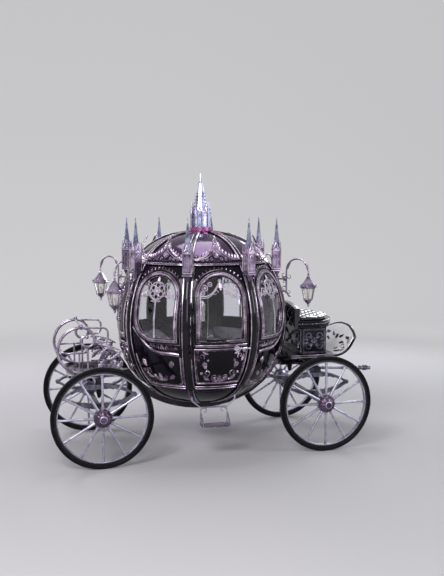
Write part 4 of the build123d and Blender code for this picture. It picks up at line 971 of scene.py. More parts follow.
def side_keeps(far):
    """A side panel's carving runs up the far rib, along the foot and into the door's upper corner."""
    def keeps(x, z):
        return z < 1.125 and (far * x > 0.12 or z < 0.93 or (far * x < -0.14 and z > 1.05))
    return keeps


@joined
def lower_carving(keeps):
    """Acanthus scrolls of a lower panel, drawn flat: of the symmetrical drawing, what stands at
    the places (x, height) that keeps allows."""
    if keeps(0, 1.045):
        yield rosette((0, 1.045), 0.024, 6, 0.013)
    for z, length, width in ((0.885, 0.11, 0.024), (1.16, 0.1, 0.022)):
        if keeps(0, z):
            yield leaf((0, z), length, width, 90, 0, 4, 0.015)
    for side in BOTH_SIDES:
        mirror = (0, 1) if side > 0 else (180, -1)
        for x, z, r0, r1, a0, a1, w in VOLUTES:
            if keeps(side * x, z):
                start, end = [mirror[0] + mirror[1] * a for a in (a0, a1)]
                yield curl((side * x, z), r0, r1, start, end, w)
        for x, z, length, width, a, bend, lobes in LEAVES:
            if keeps(side * x, z):
                yield leaf((side * x, z), length, width, mirror[0] + mirror[1] * a, bend * side,
                           lobes, 0.013)
        for x, z, r in ROSETTES:
            if keeps(side * x, z):
                yield rosette((side * x, z), r, 5, 0.01)


# volutes of an apron: distance towards the far rib, height, radius
APRON_VOLUTES = [
    (-0.255, 1.288, 0.018), (-0.21, 1.284, 0.026), (-0.15, 1.286, 0.026), (-0.09, 1.29, 0.024),
    (-0.035, 1.298, 0.02), (0.012, 1.306, 0.015), (0.048, 1.316, 0.011),
]
# margin of a lower panel's border in from the ribs' middle planes
BORDER_MARGIN = 0.082


def apron_shapes(azimuth, sweep):
    """Under a side window: a bold roll that sweeps from the far rib under the sill to the door's
    rib, a fine one below it, and small volutes between them and the window. Sweep says on which
    side the far rib lies."""
    t = np.linspace(0, 1, 30)
    side = float(sweep)
    low_z = 1.228 + 0.27 * (1 - t) ** 2.6 + 0.01 * np.sin(3 * np.pi * t)
    low = np.stack([side * (0.3 - 0.585 * t), low_z], 1)
    rolls = [roll_on(low, 0.013, 0.006, azimuth, False, 10),
             roll_on(low - [0, 0.022], 0.0045, 0.002, azimuth, False, 6)]
    flat = []
    for x, z, size in APRON_VOLUTES:
        a = 200 if side > 0 else -20
        flat.append(curl((side * x, z), size, 0.25 * size, a, a - 300 * side, 0.22 * size + 0.0015))
        flat.append(leaf((side * x, z + 0.5 * size), 1.2 * size, 0.35 * size, 80, 0.4 * side, 2, 0.009))
        flat.append(rosette((side * (x + 1.15 * size), z - 0.004), 0.3 * size, 5, 0.008))
    return join(rolls), laid(join(flat), azimuth)


# azimuth, side of the swept corner (0 for none), body, pieces' name
WINDOW_BAYS = [
    (225, -1, "carriage", "rear_right"), (315, 1, "carriage", "front_right"),
    (135, 1, "carriage", "rear_left"), (45, -1, "carriage", "front_left"),
    (270, 0, "door_right", "door_right"), (90, 0, "door_left", "door_left"),
]


def dress_window_bay(azimuth, sweep, body, name, settings):
    """Everything on one bay with a window: mouldings, beads, tracery, apron and lower carving."""
    rolls, arch, beads = window_shapes(azimuth, sweep, CASING_PROUD, settings)
    carving = [laid(lower_carving(side_keeps(sweep) if sweep else door_keeps), azimuth)]
    if sweep:
        apron_rolls, apron_carving = apron_shapes(azimuth, sweep)
        carving.append(apron_carving)
        z = np.linspace(0.868, 1.195, 22)
        half = panel_half(z, BORDER_MARGIN)
        border = np.concatenate([np.stack([-half[::-1], z[::-1]], 1), np.stack([half, z], 1)])
        rolls = join([rolls, apron_rolls, roll_on(border, 0.007, 0.002, azimuth, False)])
        border_beads = bead_row(grown(border, 0.016)[1:-1], 0.0045, 0.001, azimuth, 0.016, False)
    else:
        band = np.stack([np.linspace(-0.288, 0.288, 20), np.full(20, 1.335)], 1)
        rolls = join([rolls, roll_on(band, 0.0095, 0.003, azimuth, False),
                      roll_on(band - [0, 0.02], 0.0045, 0.002, azimuth, False, 6)])
        border = lower_border(0.88, 1.29)
        rolls = join([rolls, roll_on(border, 0.007, 0.002, azimuth)])
        border_beads = bead_row(grown(border, -0.016), 0.0045, 0.001, azimuth, 0.016)
    beads = join([beads, border_beads])
    piece("window_mouldings_" + name, rolls, "moulding_metal", "rib_lacquer", body)
    piece("window_arch_" + name, arch, "rib_lacquer", "rib_lacquer", body)
    piece("window_beads_" + name, beads, "moulding_metal", "rib_lacquer", body, angle=80)
    piece("carving_" + name, join(carving), "carving_lacquer", "cabin_lacquer", body)
    tracery = laid(side_tracery() if sweep else door_tracery(), azimuth)
    piece("window_tracery_" + name, tracery, "tracery_metal", "rib_lacquer", body)


def dress_end_bay(azimuth, name, settings):
    """The front and rear bays: a blind arch with a carved rosette over the same lower carving."""
    rolls, arch, beads = window_shapes(azimuth, 0, 0, settings)
    border = lower_border(0.868, 1.29)
    rolls = join([rolls, roll_on(border, 0.007, 0.002, azimuth)])
    flat = [lower_carving(end_keeps), rosette((0, 1.76), 0.055, 8, 0.016)]
    for side in BOTH_SIDES:
        for z, flip in ((1.76, 1), (1.76, -1)):
            flat.append(curl((side * 0.115, z + flip * 0.075), 0.06, 0.012, 90 + 90 * side,
                             90 + 90 * side - 330 * side * flip, 0.01))
            flat.append(leaf((side * 0.045, z + flip * 0.045), 0.12, 0.022, 90 * flip - 30 * side * flip,
                             0.2 * side * flip, 4, 0.014))
        flat.append(leaf((side * 0.01, 1.6), 0.15, 0.022, -90 + 35 * side, 0.25 * side, 4, 0.014))
        flat.append(leaf((side * 0.01, 1.9), 0.13, 0.022, 90 - 35 * side, -0.25 * side, 4, 0.014))
    piece("panel_mouldings_" + name, rolls, "moulding_metal", "rib_lacquer")
    piece("panel_arch_" + name, arch, "rib_lacquer", "rib_lacquer")
    piece("panel_beads_" + name, beads, "moulding_metal", "rib_lacquer", angle=80)
    piece("carving_" + name, laid(join(flat), azimuth), "carving_lacquer", "cabin_lacquer")


# spires and turrets


def crockets(base, tip, r_base, r_tip, edges, levels, size, end=0.86):
    """Small hooked leaves up the arrises of a spire: balls that shrink towards the tip, each with
    a smaller ball hooked over it."""
    t = np.linspace(0.06, end, levels)
    a = turns(edges)
    t, a = [k.ravel() for k in np.meshgrid(t, a, indexing="ij")]
    r = (r_base + (r_tip - r_base) * t) * 1.02
    z = base[2] + (tip[2] - base[2]) * t
    scale = 1 - 0.65 * t
    spots = np.stack([base[0] + r * np.cos(a), base[1] + r * np.sin(a), z], 1)
    hooks = spots + np.stack([0.75 * size * scale * np.cos(a), 0.75 * size * scale * np.sin(a),
                              0.85 * size * scale], 1)
    unit_ball = ball(size, 4, 6)
    return join([copies(unit_ball, spots, scale), copies(unit_ball, hooks, 0.62 * scale)])


def gable(x, width, base, peak, depth):
    """A steep pierced gable standing in the YZ plane at x: two raking bars, a sill bar and a
    roundel."""
    flat = []
    for side in BOTH_SIDES:
        t = np.linspace(0, 1, 10)
        rake = np.stack([side * width * (1 - t), base + (peak - base) * t ** 1.3], 1)
        flat.append(flat_bar(rake, depth))
    middle = base + 0.32 * (peak - base)
    flat.append(flat_bar([(-width, base), (0, base), (width, base)], depth))
    flat.append(flat_bar(ring_line((0, middle), 0.34 * width, 14), 0.6 * depth, closed=True))
    flat.append(moved(ball(1.6 * depth, 5, 8), None, (0, peak + depth, 0)))
    return stood(join(flat), x)


@joined
def lancet(half, foot, middle, spring, rise):
    """The two side bars of a lancet niche and the arcs over them, drawn flat."""
    t = np.linspace(0, 1, 9)
    for side in BOTH_SIDES:
        arc = np.stack([side * half * np.cos(0.5 * np.pi * t), spring + rise * t], 1)
        yield flat_bar(arc, 0.0035)
        yield flat_bar([(side * half, foot), (side * half, middle), (side * half, spring)], 0.0035)


def pinnacle(x, y, low, shoulder, top, r):
    """A slim round shaft with a ring, a cone and a ball on top."""
    profile = [(r, low), (r, shoulder - 0.012), (1.5 * r, shoulder - 0.008), (1.5 * r, shoulder),
               (1.15 * r, shoulder + 0.004), (0.25 * r, top - 1.6 * r), (0.7 * r, top - r),
               (0.6 * r, top - 0.4 * r), (0.05 * r, top)]
    return lathe(profile, 8, (x, y, 0))


@joined
def turret_shapes():
    """The trim of one corner turret, drawn on the +X side: ledge mouldings, corner shafts, four
    gables and lancet niches."""
    half = 0.046
    for z, reach in ((2.087, 0.056), (2.111, 0.053), (2.325, 0.05)):
        yield box((TURRET_X - reach, TURRET_X + reach), (-reach, reach), (z, z + 0.008))
    for sx in BOTH_SIDES:
        for sy in BOTH_SIDES:
            yield pinnacle(TURRET_X + sx * half, sy * half, 2.118, 2.345, 2.435, 0.0075)
    mullion = flat_bar([(0, 2.135), (0, 2.2), (0, 2.262)], 0.0028)
    niche = join([lancet(0.02, 2.135, 2.2, 2.27, 0.04), mullion])
    front = join([gable(half, 0.04, 2.335, 2.425, 0.0042), stood(niche, half)])
    for degrees in (0, 90, 180, 270):
        yield moved(front, turn_matrix("z", degrees), (TURRET_X, 0, 0))
    drop = [(0.001, 1.985), (0.008, 1.992), (0.012, 2.002), (0.007, 2.012), (0.018, 2.02), (0.012, 2.03)]
    yield lathe(drop, 12, (TURRET_X, 0, 0))


def turret_spire_shapes():
    """Crockets, rings and a finial on one turret spire."""
    axis = (TURRET_X, 0, 0)
    ring = [(0.043, 2.336), (0.044, 2.342), (0.042, 2.35), (0.038, 2.35)]
    collar = [(0.0035, 2.655), (0.009, 2.663), (0.009, 2.671), (0.003, 2.68)]
    return join([crockets((TURRET_X, 0, 2.345), (TURRET_X, 0, 2.715), 0.04, 0.002, 4, 5, 0.0075, 0.45),
                 lathe(ring, 16, axis), lathe(collar, 10, axis)])


def around(shape, azimuths):
    """A shape drawn about the cabin's axis on the +X side, repeated at each azimuth."""
    v, q, t = shape
    return join([(turned(v, azimuth), q, t) for azimuth in azimuths])


def crown_shapes():
    """The crown: collar mouldings, drum arches, gables, pinnacle trim and the needle's crockets."""
    axis = (AXIS_X, 0, 0)
    collar = [lathe([(0.128, 2.552), (0.141, 2.556), (0.141, 2.566), (0.128, 2.57)], 48, axis),
              lathe([(0.128, 2.584), (0.138, 2.588), (0.138, 2.596), (0.12, 2.602), (0.105, 2.602)],
                    48, axis),
              copies(ball(0.006, 5, 8), round_cabin(0.134, 2.577, 40))]
    drops = []
    for azimuth in BAY_AZIMUTHS:
        line, normals = meridian(azimuth, 2.515, 2.548, 10, 0.004)
        width = 0.02 * np.sin(np.pi * np.linspace(0.15, 0.95, 10)) + 0.003
        drops.append(tube(line, width, normals, 8, 0.45))
    collar.append(join(drops))
    front = join([gable(0.1, 0.034, 2.752, 2.835, 0.0042),
                  stood(lancet(0.022, 2.612, 2.65, 2.7, 0.038), 0.094)])
    shaft_r = 0.11
    trim = []
    for azimuth in BAY_AZIMUTHS:
        trim.append(bent(front, lambda v: turned(v, azimuth + 22.5)))
        a = math.radians(azimuth)
        x, y = AXIS_X + shaft_r * math.cos(a), shaft_r * math.sin(a)
        for z in (2.606, 2.68, 2.755):
            ring = [(0.014, z), (0.0185, z + 0.003), (0.0185, z + 0.009), (0.014, z + 0.012)]
            trim.append(lathe(ring, 12, (x, y, 0)))
        trim.append(crockets((x, y, 2.765), (x, y, 2.885), 0.019, 0.003, 4, 4, 0.0055))
    needle = [crockets((AXIS_X, 0, 2.775), (AXIS_X, 0, 3.22), 0.09, 0.004, 8, 6, 0.0095, 0.5),
              lathe([(0.012, 3.12), (0.024, 3.128), (0.024, 3.136), (0.01, 3.146)], 16, axis),
              lathe([(0.086, 2.764), (0.096, 2.768), (0.096, 2.776), (0.084, 2.784)], 32, axis)]
    return join(collar), join(trim), join(needle)


# wheels and running gear


def circle_path(radius, y, count=96):
    """A circle in the wheel's plane, about the axle."""
    a = turns(count)
    return np.stack([radius * np.cos(a), np.full(count, y), radius * np.sin(a)], 1)


def wheel_hub():
    """The lobed hub cap: a half ball whose radius waves with twelve petals, its rings and nut,
    drawn with the outside towards -Y."""
    a = np.linspace(0, 0.5 * np.pi, 9)
    dome = np.stack([0.097 * np.cos(a), -0.034 - 0.062 * np.sin(a)], 1)
    dome[-1, 0] = 0.024
    profile = np.concatenate([[[0.085, -0.03]], dome, [[0.02, -0.094]]])
    cap = lathe(profile, 72, axis="y", lobes=12, depth=0.045)
    rings = [lathe([(0.096, 0.03), (0.102, 0.026), (0.102, -0.022), (0.096, -0.03)], 48, axis="y"),
             lathe([(0.03, -0.092), (0.034, -0.098), (0.028, -0.106), (0.001, -0.11)], 24, axis="y"),
             lathe([(0.06, 0.05), (0.068, 0.054), (0.068, 0.064), (0.06, 0.068)], 32, axis="y")]
    return cap, join(rings)


@joined
def wheel_trim():
    """Rings on the felloe, turned collars on each spoke and bolts between the spokes."""
    for r, size in ((0.487, 0.0055), (0.514, 0.003)):
        for y in (-0.0215, 0.0215):
            yield tube(circle_path(r, y), size, (0, 1, 0), 6, closed=True)
    collar = []
    for r, size in ((0.108, 0.0205), (0.122, 0.018), (0.185, 0.0172), (0.34, 0.0155), (0.455, 0.016),
                    (0.47, 0.0175)):
        z = np.array([-0.007, -0.005, 0.005, 0.007]) + r
        y = -0.008 * (0.482 - r) / 0.41
        collar.append(lathe(np.stack([size * np.array([0.82, 1, 1, 0.82]), z], 1), 12, (0, y, 0)))
    collar = join(collar)
    bolt = join([lathe([(0.006, -0.025), (0.006, -0.0205), (0.0045, -0.019)], 6, axis="y"),
                 lathe([(0.006, 0.019), (0.006, 0.0225), (0.0035, 0.024)], 6, axis="y")])
    for k in range(12):
        yield moved(collar, turn_matrix("y", 30 * k))
        yield moved(moved(bolt, None, (0, 0, 0.501)), turn_matrix("y", 30 * k + 15))


def tyre_ridges():
    """Fine ridges moulded round both walls of the tyre."""
    return join([tube(circle_path(r, y, 120), 0.0028, (0, 1, 0), 6, closed=True)
                 for r in (0.531, 0.541) for y in (-0.0232, 0.0232)])


def dress_wheels():
    """Puts the hub, trim and ridges on each wheel, mirrored for the left side."""
    cap, rings = wheel_hub()
    trim, ridges = wheel_trim(), tyre_ridges()
    for end in ("front", "rear"):
        for side, sign in (("right", -1), ("left", 1)):
            place = (WHEEL_X[end], sign * WHEEL_Y, WHEEL_Z)
            flip = None if sign < 0 else MIRROR_Y
            name = end + "_" + side
            for label, shape, material, slot in (("hub_cap_", cap, "hub_enamel", "wheel_metal"),
                                                 ("hub_rings_", rings, "hub_enamel", "wheel_metal"),
                                                 ("wheel_trim_", trim, "wheel_metal", "wheel_metal"),
                                                 ("tyre_ridges_", ridges, "tyre_rubber", "tyre_rubber")):
                piece(label + name, moved(shape, flip, place), material, slot, "wheel_" + name)


@joined
def spring_trim():
    """Inner leaves of one elliptic spring, its clips, clamps and eye nuts, about its own middle."""
    arc_r = arc_radius(SPRING_HALF, SPRING_RISE)
    for flip in (None, MIRROR_Z):
        for k, half in enumerate((0.32, 0.245, 0.17, 0.095)):
            r = arc_r - 0.012 - 0.0045 - 0.0085 * k
            a = np.linspace(-half / r, half / r, 18)
            path = np.stack([r * np.sin(a), 0 * a, SPRING_RISE - arc_r + r * np.cos(a)], 1)
            profile = [(-0.026, -0.004), (0.026, -0.004), (0.026, 0.004), (-0.026, 0.004)]
            yield moved(strip(path, profile), flip)
        for x in (-0.205, 0.205):
            z = SPRING_RISE - arc_r + math.sqrt(arc_r ** 2 - x ** 2)
            yield moved(box((x - 0.01, x + 0.01), (-0.031, 0.031), (z - 0.026, z + 0.015)), flip)
        for x in (-0.032, 0.032):
            for y in (-0.034, 0.034):
                bolt = lathe([(0.0055, 0.08), (0.0055, 0.15), (0.005, 0.152)], 8, (x, y, 0))
                nut = lathe([(0.01, 0.078), (0.01, 0.088), (0.006, 0.09)], 6, (x, y, 0))
                yield moved(join([bolt, nut]), flip)
        yield moved(box((-0.045, 0.045), (-0.042, 0.042), (0.086, 0.094)), flip)
    for x in (-SPRING_HALF, SPRING_HALF):
        for side in BOTH_SIDES:
            nut = [(0.016, side * 0.027), (0.016, side * 0.033), (0.01, side * 0.039)]
            yield lathe(nut, 6, (x, 0, 0), "y")
        yield lathe([(0.0262, -0.02), (0.0262, 0.02)], 20, (x, 0, 0), "y")


def bump_block():
    """The tapered rubber bump stop under the upper leaves: four sides that narrow downwards."""
    rings = []
    for z, hx, hy in ((0.078, 0.034, 0.024), (0.045, 0.03, 0.022), (-0.005, 0.018, 0.016),
                      (-0.02, 0.012, 0.01)):
        rings.append([(-hx, -hy, z), (hx, -hy, z), (hx, hy, z), (-hx, hy, z)])
    return skin(np.array(rings))


def dress_running_gear():
    """Spring leaves, bump stops, axle caps, perch rolls, turntable studs and pole rings."""
    trim, stop = spring_trim(), bump_block()
    for end, body in (("front", "fore_carriage"), ("rear", "carriage")):
        x = WHEEL_X[end]
        places = [(x, -SPRING_Y, SPRING_MID_Z), (x, SPRING_Y, SPRING_MID_Z)]
        leaves = join([moved(trim, None, place) for place in places])
        piece("spring_leaves_" + end, leaves, "spring_steel", "spring_steel", body)
        stops = join([moved(stop, None, place) for place in places])
        piece("bump_stops_" + end, stops, "tyre_rubber", "spring_steel", body, bevel=0.003)
        clips = []
        for sign in BOTH_SIDES:
            for y in (0.1, 0.4, 0.5, 0.68):
                clips.append(box((x - 0.029, x + 0.029), sorted((sign * (y - 0.01), sign * (y + 0.01))),
                                 (WHEEL_Z - 0.029, WHEEL_Z + 0.0245)))
        piece("axle_clips_" + end, join(clips), "spring_steel", "running_gear", body, bevel=0.002)
    rolls = []
    for azimuth, top in ((0, 0.9), (180, 0.88)):
        for lift in (-0.022, -0.093):
            for y in (-0.0455, 0.0455):
                line, normals = meridian(azimuth, 0.5135, top, 60, -lift, y)
                rolls.append(tube(line, 0.0055, normals, 6))
    piece("perch_rolls", join(rolls), "moulding_metal", "running_gear")
    studs = lifted(ring_line((WHEEL_X["front"], 0), 0.3105, 24), 0.9355)
    piece("turntable_studs", copies(ball(0.0055, 5, 8), studs), "spring_steel", "running_gear",
          "fore_carriage", angle=80)
    tilt = turn_matrix("y", POLE_DROOP)
    rings = []
    for distance, r in ((0.16, 0.024), (0.19, 0.02), (0.42, 0.022), (0.66, 0.03), (0.685, 0.027),
                        (0.775, 0.028), (0.8, 0.0275)):
        profile = [(0.7 * r, distance - 0.009), (r, distance - 0.005), (r, distance + 0.005),
                   (0.7 * r, distance + 0.009)]
        rings.append(moved(lathe(profile, 20, axis="x"), tilt, POLE_HINGE))
    bulb = [(0.026, 0.7), (0.031, 0.706), (0.0345, 0.722), (0.0345, 0.742), (0.031, 0.757), (0.026, 0.763)]
    bulb = lathe(bulb, 28, axis="x", lobes=12, depth=0.04)
    piece("pole_rings", join(rings), "pole_metal", "pole_metal", "pole")
    piece("pole_bulb", moved(bulb, tilt, POLE_HINGE), "hub_enamel", "pole_metal", "pole")


# rear, box, lamps, steps


def upright(shape, y):
    """A flat shape (x, z, lift) stood in the lengthwise plane at y, x counted from the cabin's axis."""
    return bent(shape, lambda v: np.stack([v[:, 0] + AXIS_X, y + v[:, 2], v[:, 1]], 1))


@joined
def rear_filigree():
    """Leafwork between a rear scroll and the cabin: volutes, leaves and a frame bar."""
    for x, z, r0, r1, a0, a1, w in (
            (-1.215, 1.085, 0.062, 0.012, 180, -200, 0.009), (-1.11, 1.08, 0.05, 0.01, 0, 360, 0.0085),
            (-1.175, 1.18, 0.048, 0.01, 250, -110, 0.008), (-1.08, 1.175, 0.04, 0.009, -60, 290, 0.008),
            (-1.24, 1.235, 0.03, 0.007, 90, -230, 0.007), (-1.02, 1.095, 0.03, 0.007, 90, 410, 0.007)):
        yield curl((x, z), r0, r1, a0, a1, w)
    for x, z, length, width, a, bend in (
            (-1.28, 1.01, 0.15, 0.026, 60, -0.3), (-1.2, 0.99, 0.14, 0.024, 35, 0.3),
            (-1.12, 0.985, 0.13, 0.024, 70, -0.3), (-1.06, 1, 0.12, 0.022, 50, 0.3),
            (-1.15, 1.115, 0.12, 0.02, 20, 0.3), (-1.24, 1.14, 0.11, 0.02, 80, -0.3),
            (-1.1, 1.215, 0.1, 0.018, 150, 0.25), (-1.04, 1.13, 0.09, 0.018, 95, -0.3)):
        yield leaf((x, z), length, width, a, bend, 4, 0.014, -0.006)
    yield flat_bar([(-1.29, 0.985), (-1.15, 0.982), (-0.995, 0.985)], 0.01)
    t = np.linspace(0, 1, 20)
    top = np.stack([-1.29 + 0.3 * t, 1.275 - 0.085 * t + 0.03 * np.sin(np.pi * t)], 1)
    yield flat_bar(top, 0.0085)


def dress_rear():
    """Leafwork, tube collars and the board's edge rolls at the back."""
    filigree = rear_filigree()
    leaves = join([upright(filigree, y) for y in (-SCROLL_Y, SCROLL_Y)])
    piece("rear_leafwork", leaves, "scroll_metal", "scroll_metal")
    arm_x = SCROLL_X + AXIS_X
    ring = lathe([(0.015, -0.01), (0.0205, -0.006), (0.0205, 0.006), (0.015, 0.01)], 14)
    collars = []
    for y in (-SCROLL_Y, SCROLL_Y):
        for degrees in (120, 150, 180, 210, 240):
            a = math.radians(degrees)
            at = (arm_x + SCROLL_R * math.cos(a), y,
                  BOARD_TOP_Z + 0.016 + SCROLL_R + SCROLL_R * math.sin(a))
            collars.append(moved(ring, turn_matrix("y", -degrees), at))
        collars.append(moved(ball(0.024, 8, 14), None, (arm_x, y, BOARD_TOP_Z + 0.032 + 2 * SCROLL_R)))
        collars.append(lathe([(0.012, 1.1), (0.018, 1.106), (0.018, 1.116), (0.012, 1.122)], 14,
                             (arm_x + 0.074, y, 0)))
        collars.append(lathe([(0.016, 0.961), (0.03, 0.961), (0.03, 0.967), (0.018, 0.974)], 16,
                             (arm_x, y, 0)))
    piece("rear_collars", join(collars), "scroll_metal", "scroll_metal")
    corner = np.array([(-1.01, -0.43), (-1.2, -0.43), (-1.49, -0.43), (-1.575, -0.395), (-1.61, -0.31),
                       (-1.61, 0)])
    edge = spread(np.concatenate([corner, (corner * [1, -1])[-2::-1]]), 0.03, False) + [AXIS_X, 0]
    rolls = [tube(lifted(edge, z), 0.006) for z in (0.936, 0.955)]
    bead_line = spread(edge, 0.018, False) * [1, 1.004]
    rolls.append(copies(ball(0.005), lifted(bead_line, 0.9455)))
    piece("rear_board_edge", join(rolls), "moulding_metal", "box_lacquer")


def slab(lower, upper):
    """A closed plate between two grids of points of the same size."""
    rows, columns = lower.shape[:2]
    n = rows * columns
    q = grid_quads(rows, columns)
    index = np.arange(n).reshape(rows, columns)
    rim = np.concatenate([index[0, :], index[1:, -1], index[-1, -2::-1], index[-2:0:-1, 0]])
    nxt = np.roll(rim, -1)
    sides = np.stack([rim, nxt, nxt + n, rim + n], 1)
    v = np.concatenate([lower.reshape(-1, 3), upper.reshape(-1, 3)])
    return outward((v, np.concatenate([q, q[:, ::-1] + n, sides[:, ::-1]]), np.zeros((0, 3), int)))


def dash_point(s):
    """A point on the dash's middle line and its inward normal, s running from 0 to 1."""
    arc = DASH_TURN_R * DASH_LEAN
    d = np.asarray(s, float) * (arc + DASH_RISE)
    a = np.minimum(d, arc) / DASH_TURN_R
    past = np.maximum(d - arc, 0)
    x = DASH_FOOT[0] + AXIS_X + DASH_TURN_R * np.sin(a) + past * math.cos(DASH_LEAN)
    z = DASH_FOOT[1] + DASH_TURN_R * (1 - np.cos(a)) + past * math.sin(DASH_LEAN)
    return x, z, -np.sin(a), np.cos(a)


def dash_top(y):
    """Height of the dash's arched top edge at a distance across."""
    r = arc_radius(DASH_HALF, DASH_ARCH)
    return DASH_TOP_Z - r + np.sqrt(r * r - y * y)


def dash_end(y, drop):
    """How far up the dash, from 0 to 1, the place lies that is a drop below its top edge."""
    s = np.linspace(0, 1, 200)
    return np.interp(dash_top(y) - drop, dash_point(s)[1], s)


def dash_grid(half, drop, lift, rows=40, columns=30):
    """A grid on the dash's inner (positive lift) or outer face, up to just below its top edge."""
    y = np.linspace(-half, half, rows)
    s = dash_end(y, drop)[:, None] * np.linspace(0.02, 1, columns)[None]
    x, z, nx, nz = dash_point(s)
    return np.stack([x + lift * nx, np.broadcast_to(y[:, None], x.shape), z + lift * nz], -1)


def on_dash(shape, lift):
    """Bends a flat shape (across, distance up the dash, lift) onto the dash's inner face."""
    def place(v):
        x, z, nx, nz = dash_point(v[:, 1] / (DASH_TURN_R * DASH_LEAN + DASH_RISE))
        out = lift + v[:, 2]
        return np.stack([x + out * nx, v[:, 0], z + out * nz], 1)
    return bent(shape, place)


@joined
def dash_carving():
    """Leaves and volutes of the dash, drawn flat: a spray at each side and a rosette between."""
    yield rosette((0, 0.3), 0.03, 8, 0.008)
    for side in BOTH_SIDES:
        for x, up, r0, r1, a0, a1 in ((0.3, 0.19, 0.05, 0.012, 200, -120),
                                      (0.34, 0.29, 0.036, 0.009, -60, 260),
                                      (0.21, 0.13, 0.036, 0.009, 220, -90)):
            start, end = (a0, a1) if side > 0 else (180 - a0, 180 - a1)
            yield curl((side * x, up), r0, r1, start, end, 0.0075)
        for x, up, length, a, bend in ((0.06, 0.3, 0.11, 8, 0.3), (0.15, 0.215, 0.12, 30, -0.3),
                                       (0.38, 0.11, 0.1, 95, 0.3), (0.25, 0.07, 0.12, 20, 0.3),
                                       (0.23, 0.33, 0.11, -15, 0.3)):
            angle = a if side > 0 else 180 - a
            yield leaf((side * x, up), length, 0.018, angle, bend * side, 4, 0.01)


@joined
def box_panel(length):
    """Carving of one face of the driver's box, drawn flat: border roll, volutes, leaves, rosette."""
    low, high = BOX_Z
    border = np.array([(-length, low), (length, low), (length, high), (-length, high)])
    yield flat_bar(spread(border, 0.02), 0.007, closed=True)
    yield flat_bar(spread(grown(border, -0.012), 0.02), 0.0035, closed=True)
    middle = 0.5 * (low + high)
    yield rosette((0, middle), 0.034, 8, 0.014)
    for side in BOTH_SIDES:
        for flip in BOTH_SIDES:
            a = 90 - 90 * side
            yield curl((side * 0.45 * length, middle + flip * 0.06), 0.045, 0.01, a,
                       a + 320 * side * flip, 0.0085)
            yield curl((side * 0.78 * length, middle + flip * 0.045), 0.032, 0.008, a,
                       a - 320 * side * flip, 0.0075)
            yield leaf((side * 0.12 * length, middle + flip * 0.03), 0.36 * length, 0.02,
                       90 - side * (90 - 35 * flip), -0.2 * side * flip, 4, 0.013)
            yield leaf((side * 0.5 * length, middle + flip * 0.01), 0.36 * length, 0.018,
                       90 - side * (90 - 25 * flip), 0.2 * side * flip, 4, 0.012)


def seat_line(inset, z, count=60):
    """The seat's plan outline: straight back and sides, bowed front."""
    w, rear, side, front = 0.45 - inset, 1.095 + inset, 1.377, 1.62 - inset
    bow = front - side
    r = arc_radius(w, bow)
    y = np.linspace(-w, w, count)
    x = front - r + np.sqrt(r * r - y * y)
    back = [(rear, w), (rear, 0), (rear, -w), (1.2, -w)]
    line = np.concatenate([back, np.stack([x, y], 1), [(1.2, w)]])
    return lifted(spread(line, 0.02) + [AXIS_X, 0], z)


def dress_driver_box():
    """Carved faces, seat rim rolls and nails, dash lining, dash rim and platform edge."""
    side, end = box_panel(0.14), box_panel(0.39)
    middle = BOX_X + AXIS_X
    faces = [bent(side, lambda v: np.stack(
        [middle + v[:, 0], sign * (BOX_HALF_WIDTH + v[:, 2]), v[:, 1]], 1)) for sign in (-1, 1)]
    faces += [bent(end, lambda v: np.stack(
        [middle + sign * (BOX_HALF_LENGTH + v[:, 2]), v[:, 0], v[:, 1]], 1)) for sign in (1, -1)]
    piece("box_carving", join(faces), "spring_steel", "box_lacquer")
    rolls = [tube(seat_line(-0.003, z), r, sides=8, closed=True)
             for z, r in ((1.408, 0.01), (1.424, 0.005), (1.474, 0.009))]
    piece("seat_rim_rolls", join(rolls), "box_lacquer", "box_lacquer")
    nails = copies(ball(0.0065, 5, 8), seat_line(-0.002, 1.449))
    piece("seat_nails", nails, "moulding_metal", "box_lacquer", angle=80)
    # the lining's near-white finish is pale pearl and also a painted reflection of bright light
    lining = slab(dash_grid(0.432, 0.016, 0.0113), dash_grid(0.43, 0.018, 0.014))
    piece("dash_lining", lining, "dash_pearl_painted_reflection", "box_lacquer")
    piece("dash_carving", on_dash(dash_carving(), 0.0145), "hub_enamel", "box_lacquer")
    y = np.linspace(-0.446, 0.446, 60)
    s_top = dash_end(y, 0.004)
    x, z = dash_point(s_top)[:2]
    arch = np.stack([x, y, z], 1)
    x, z = dash_point(np.linspace(s_top[0], 0.05, 24))[:2]
    left = np.stack([x, np.full(24, -0.449), z], 1)[::-1]
    right = np.stack([x, np.full(24, 0.449), z], 1)
    rim = spread(np.concatenate([left, arch[1:-1], right]), 0.02, False)
    nails = copies(ball(0.006, 5, 8), spread(rim + [-0.012, 0, -0.002], 0.028, False))
    piece("dash_rim", join([tube(rim, 0.014, (0.35, 0.01, 0.9), 10), nails]), "box_lacquer", "box_lacquer")
    edge = []
    for y in (-0.452, 0.452):
        for z in (1.045, 1.07):
            edge.append(tube([(x + AXIS_X, y, z) for x in (0.99, 1.27, 1.548)], 0.0055))
        beads = [(x + AXIS_X, y, 1.0575) for x in np.linspace(0.995, 1.545, 32)]
        edge.append(copies(ball(0.005), beads))
    piece("platform_edge", join(edge), "moulding_metal", "box_lacquer")


def bracket_plane(shape):
    """A flat shape (along, z, lift) stood in the upright plane from the rib to the lantern."""
    run = (LAMP_AT - BRACKET_FOOT) / np.linalg.norm(LAMP_AT - BRACKET_FOOT)

    def place(v):
        x = BRACKET_FOOT[0] + run[0] * v[:, 0] - run[1] * v[:, 2]
        y = BRACKET_FOOT[1] + run[1] * v[:, 0] + run[0] * v[:, 2]
        return np.stack([x, y, v[:, 1]], 1)
    return bent(shape, place)


def four_corners(shape):
    """A shape about the cabin's axis at the front left, and its three mirror images."""
    both = [shape, moved(shape, MIRROR_Y)]
    return join([moved(s, None, (AXIS_X, 0, 0)) for s in both + [moved(s, MIRROR_X) for s in both]])


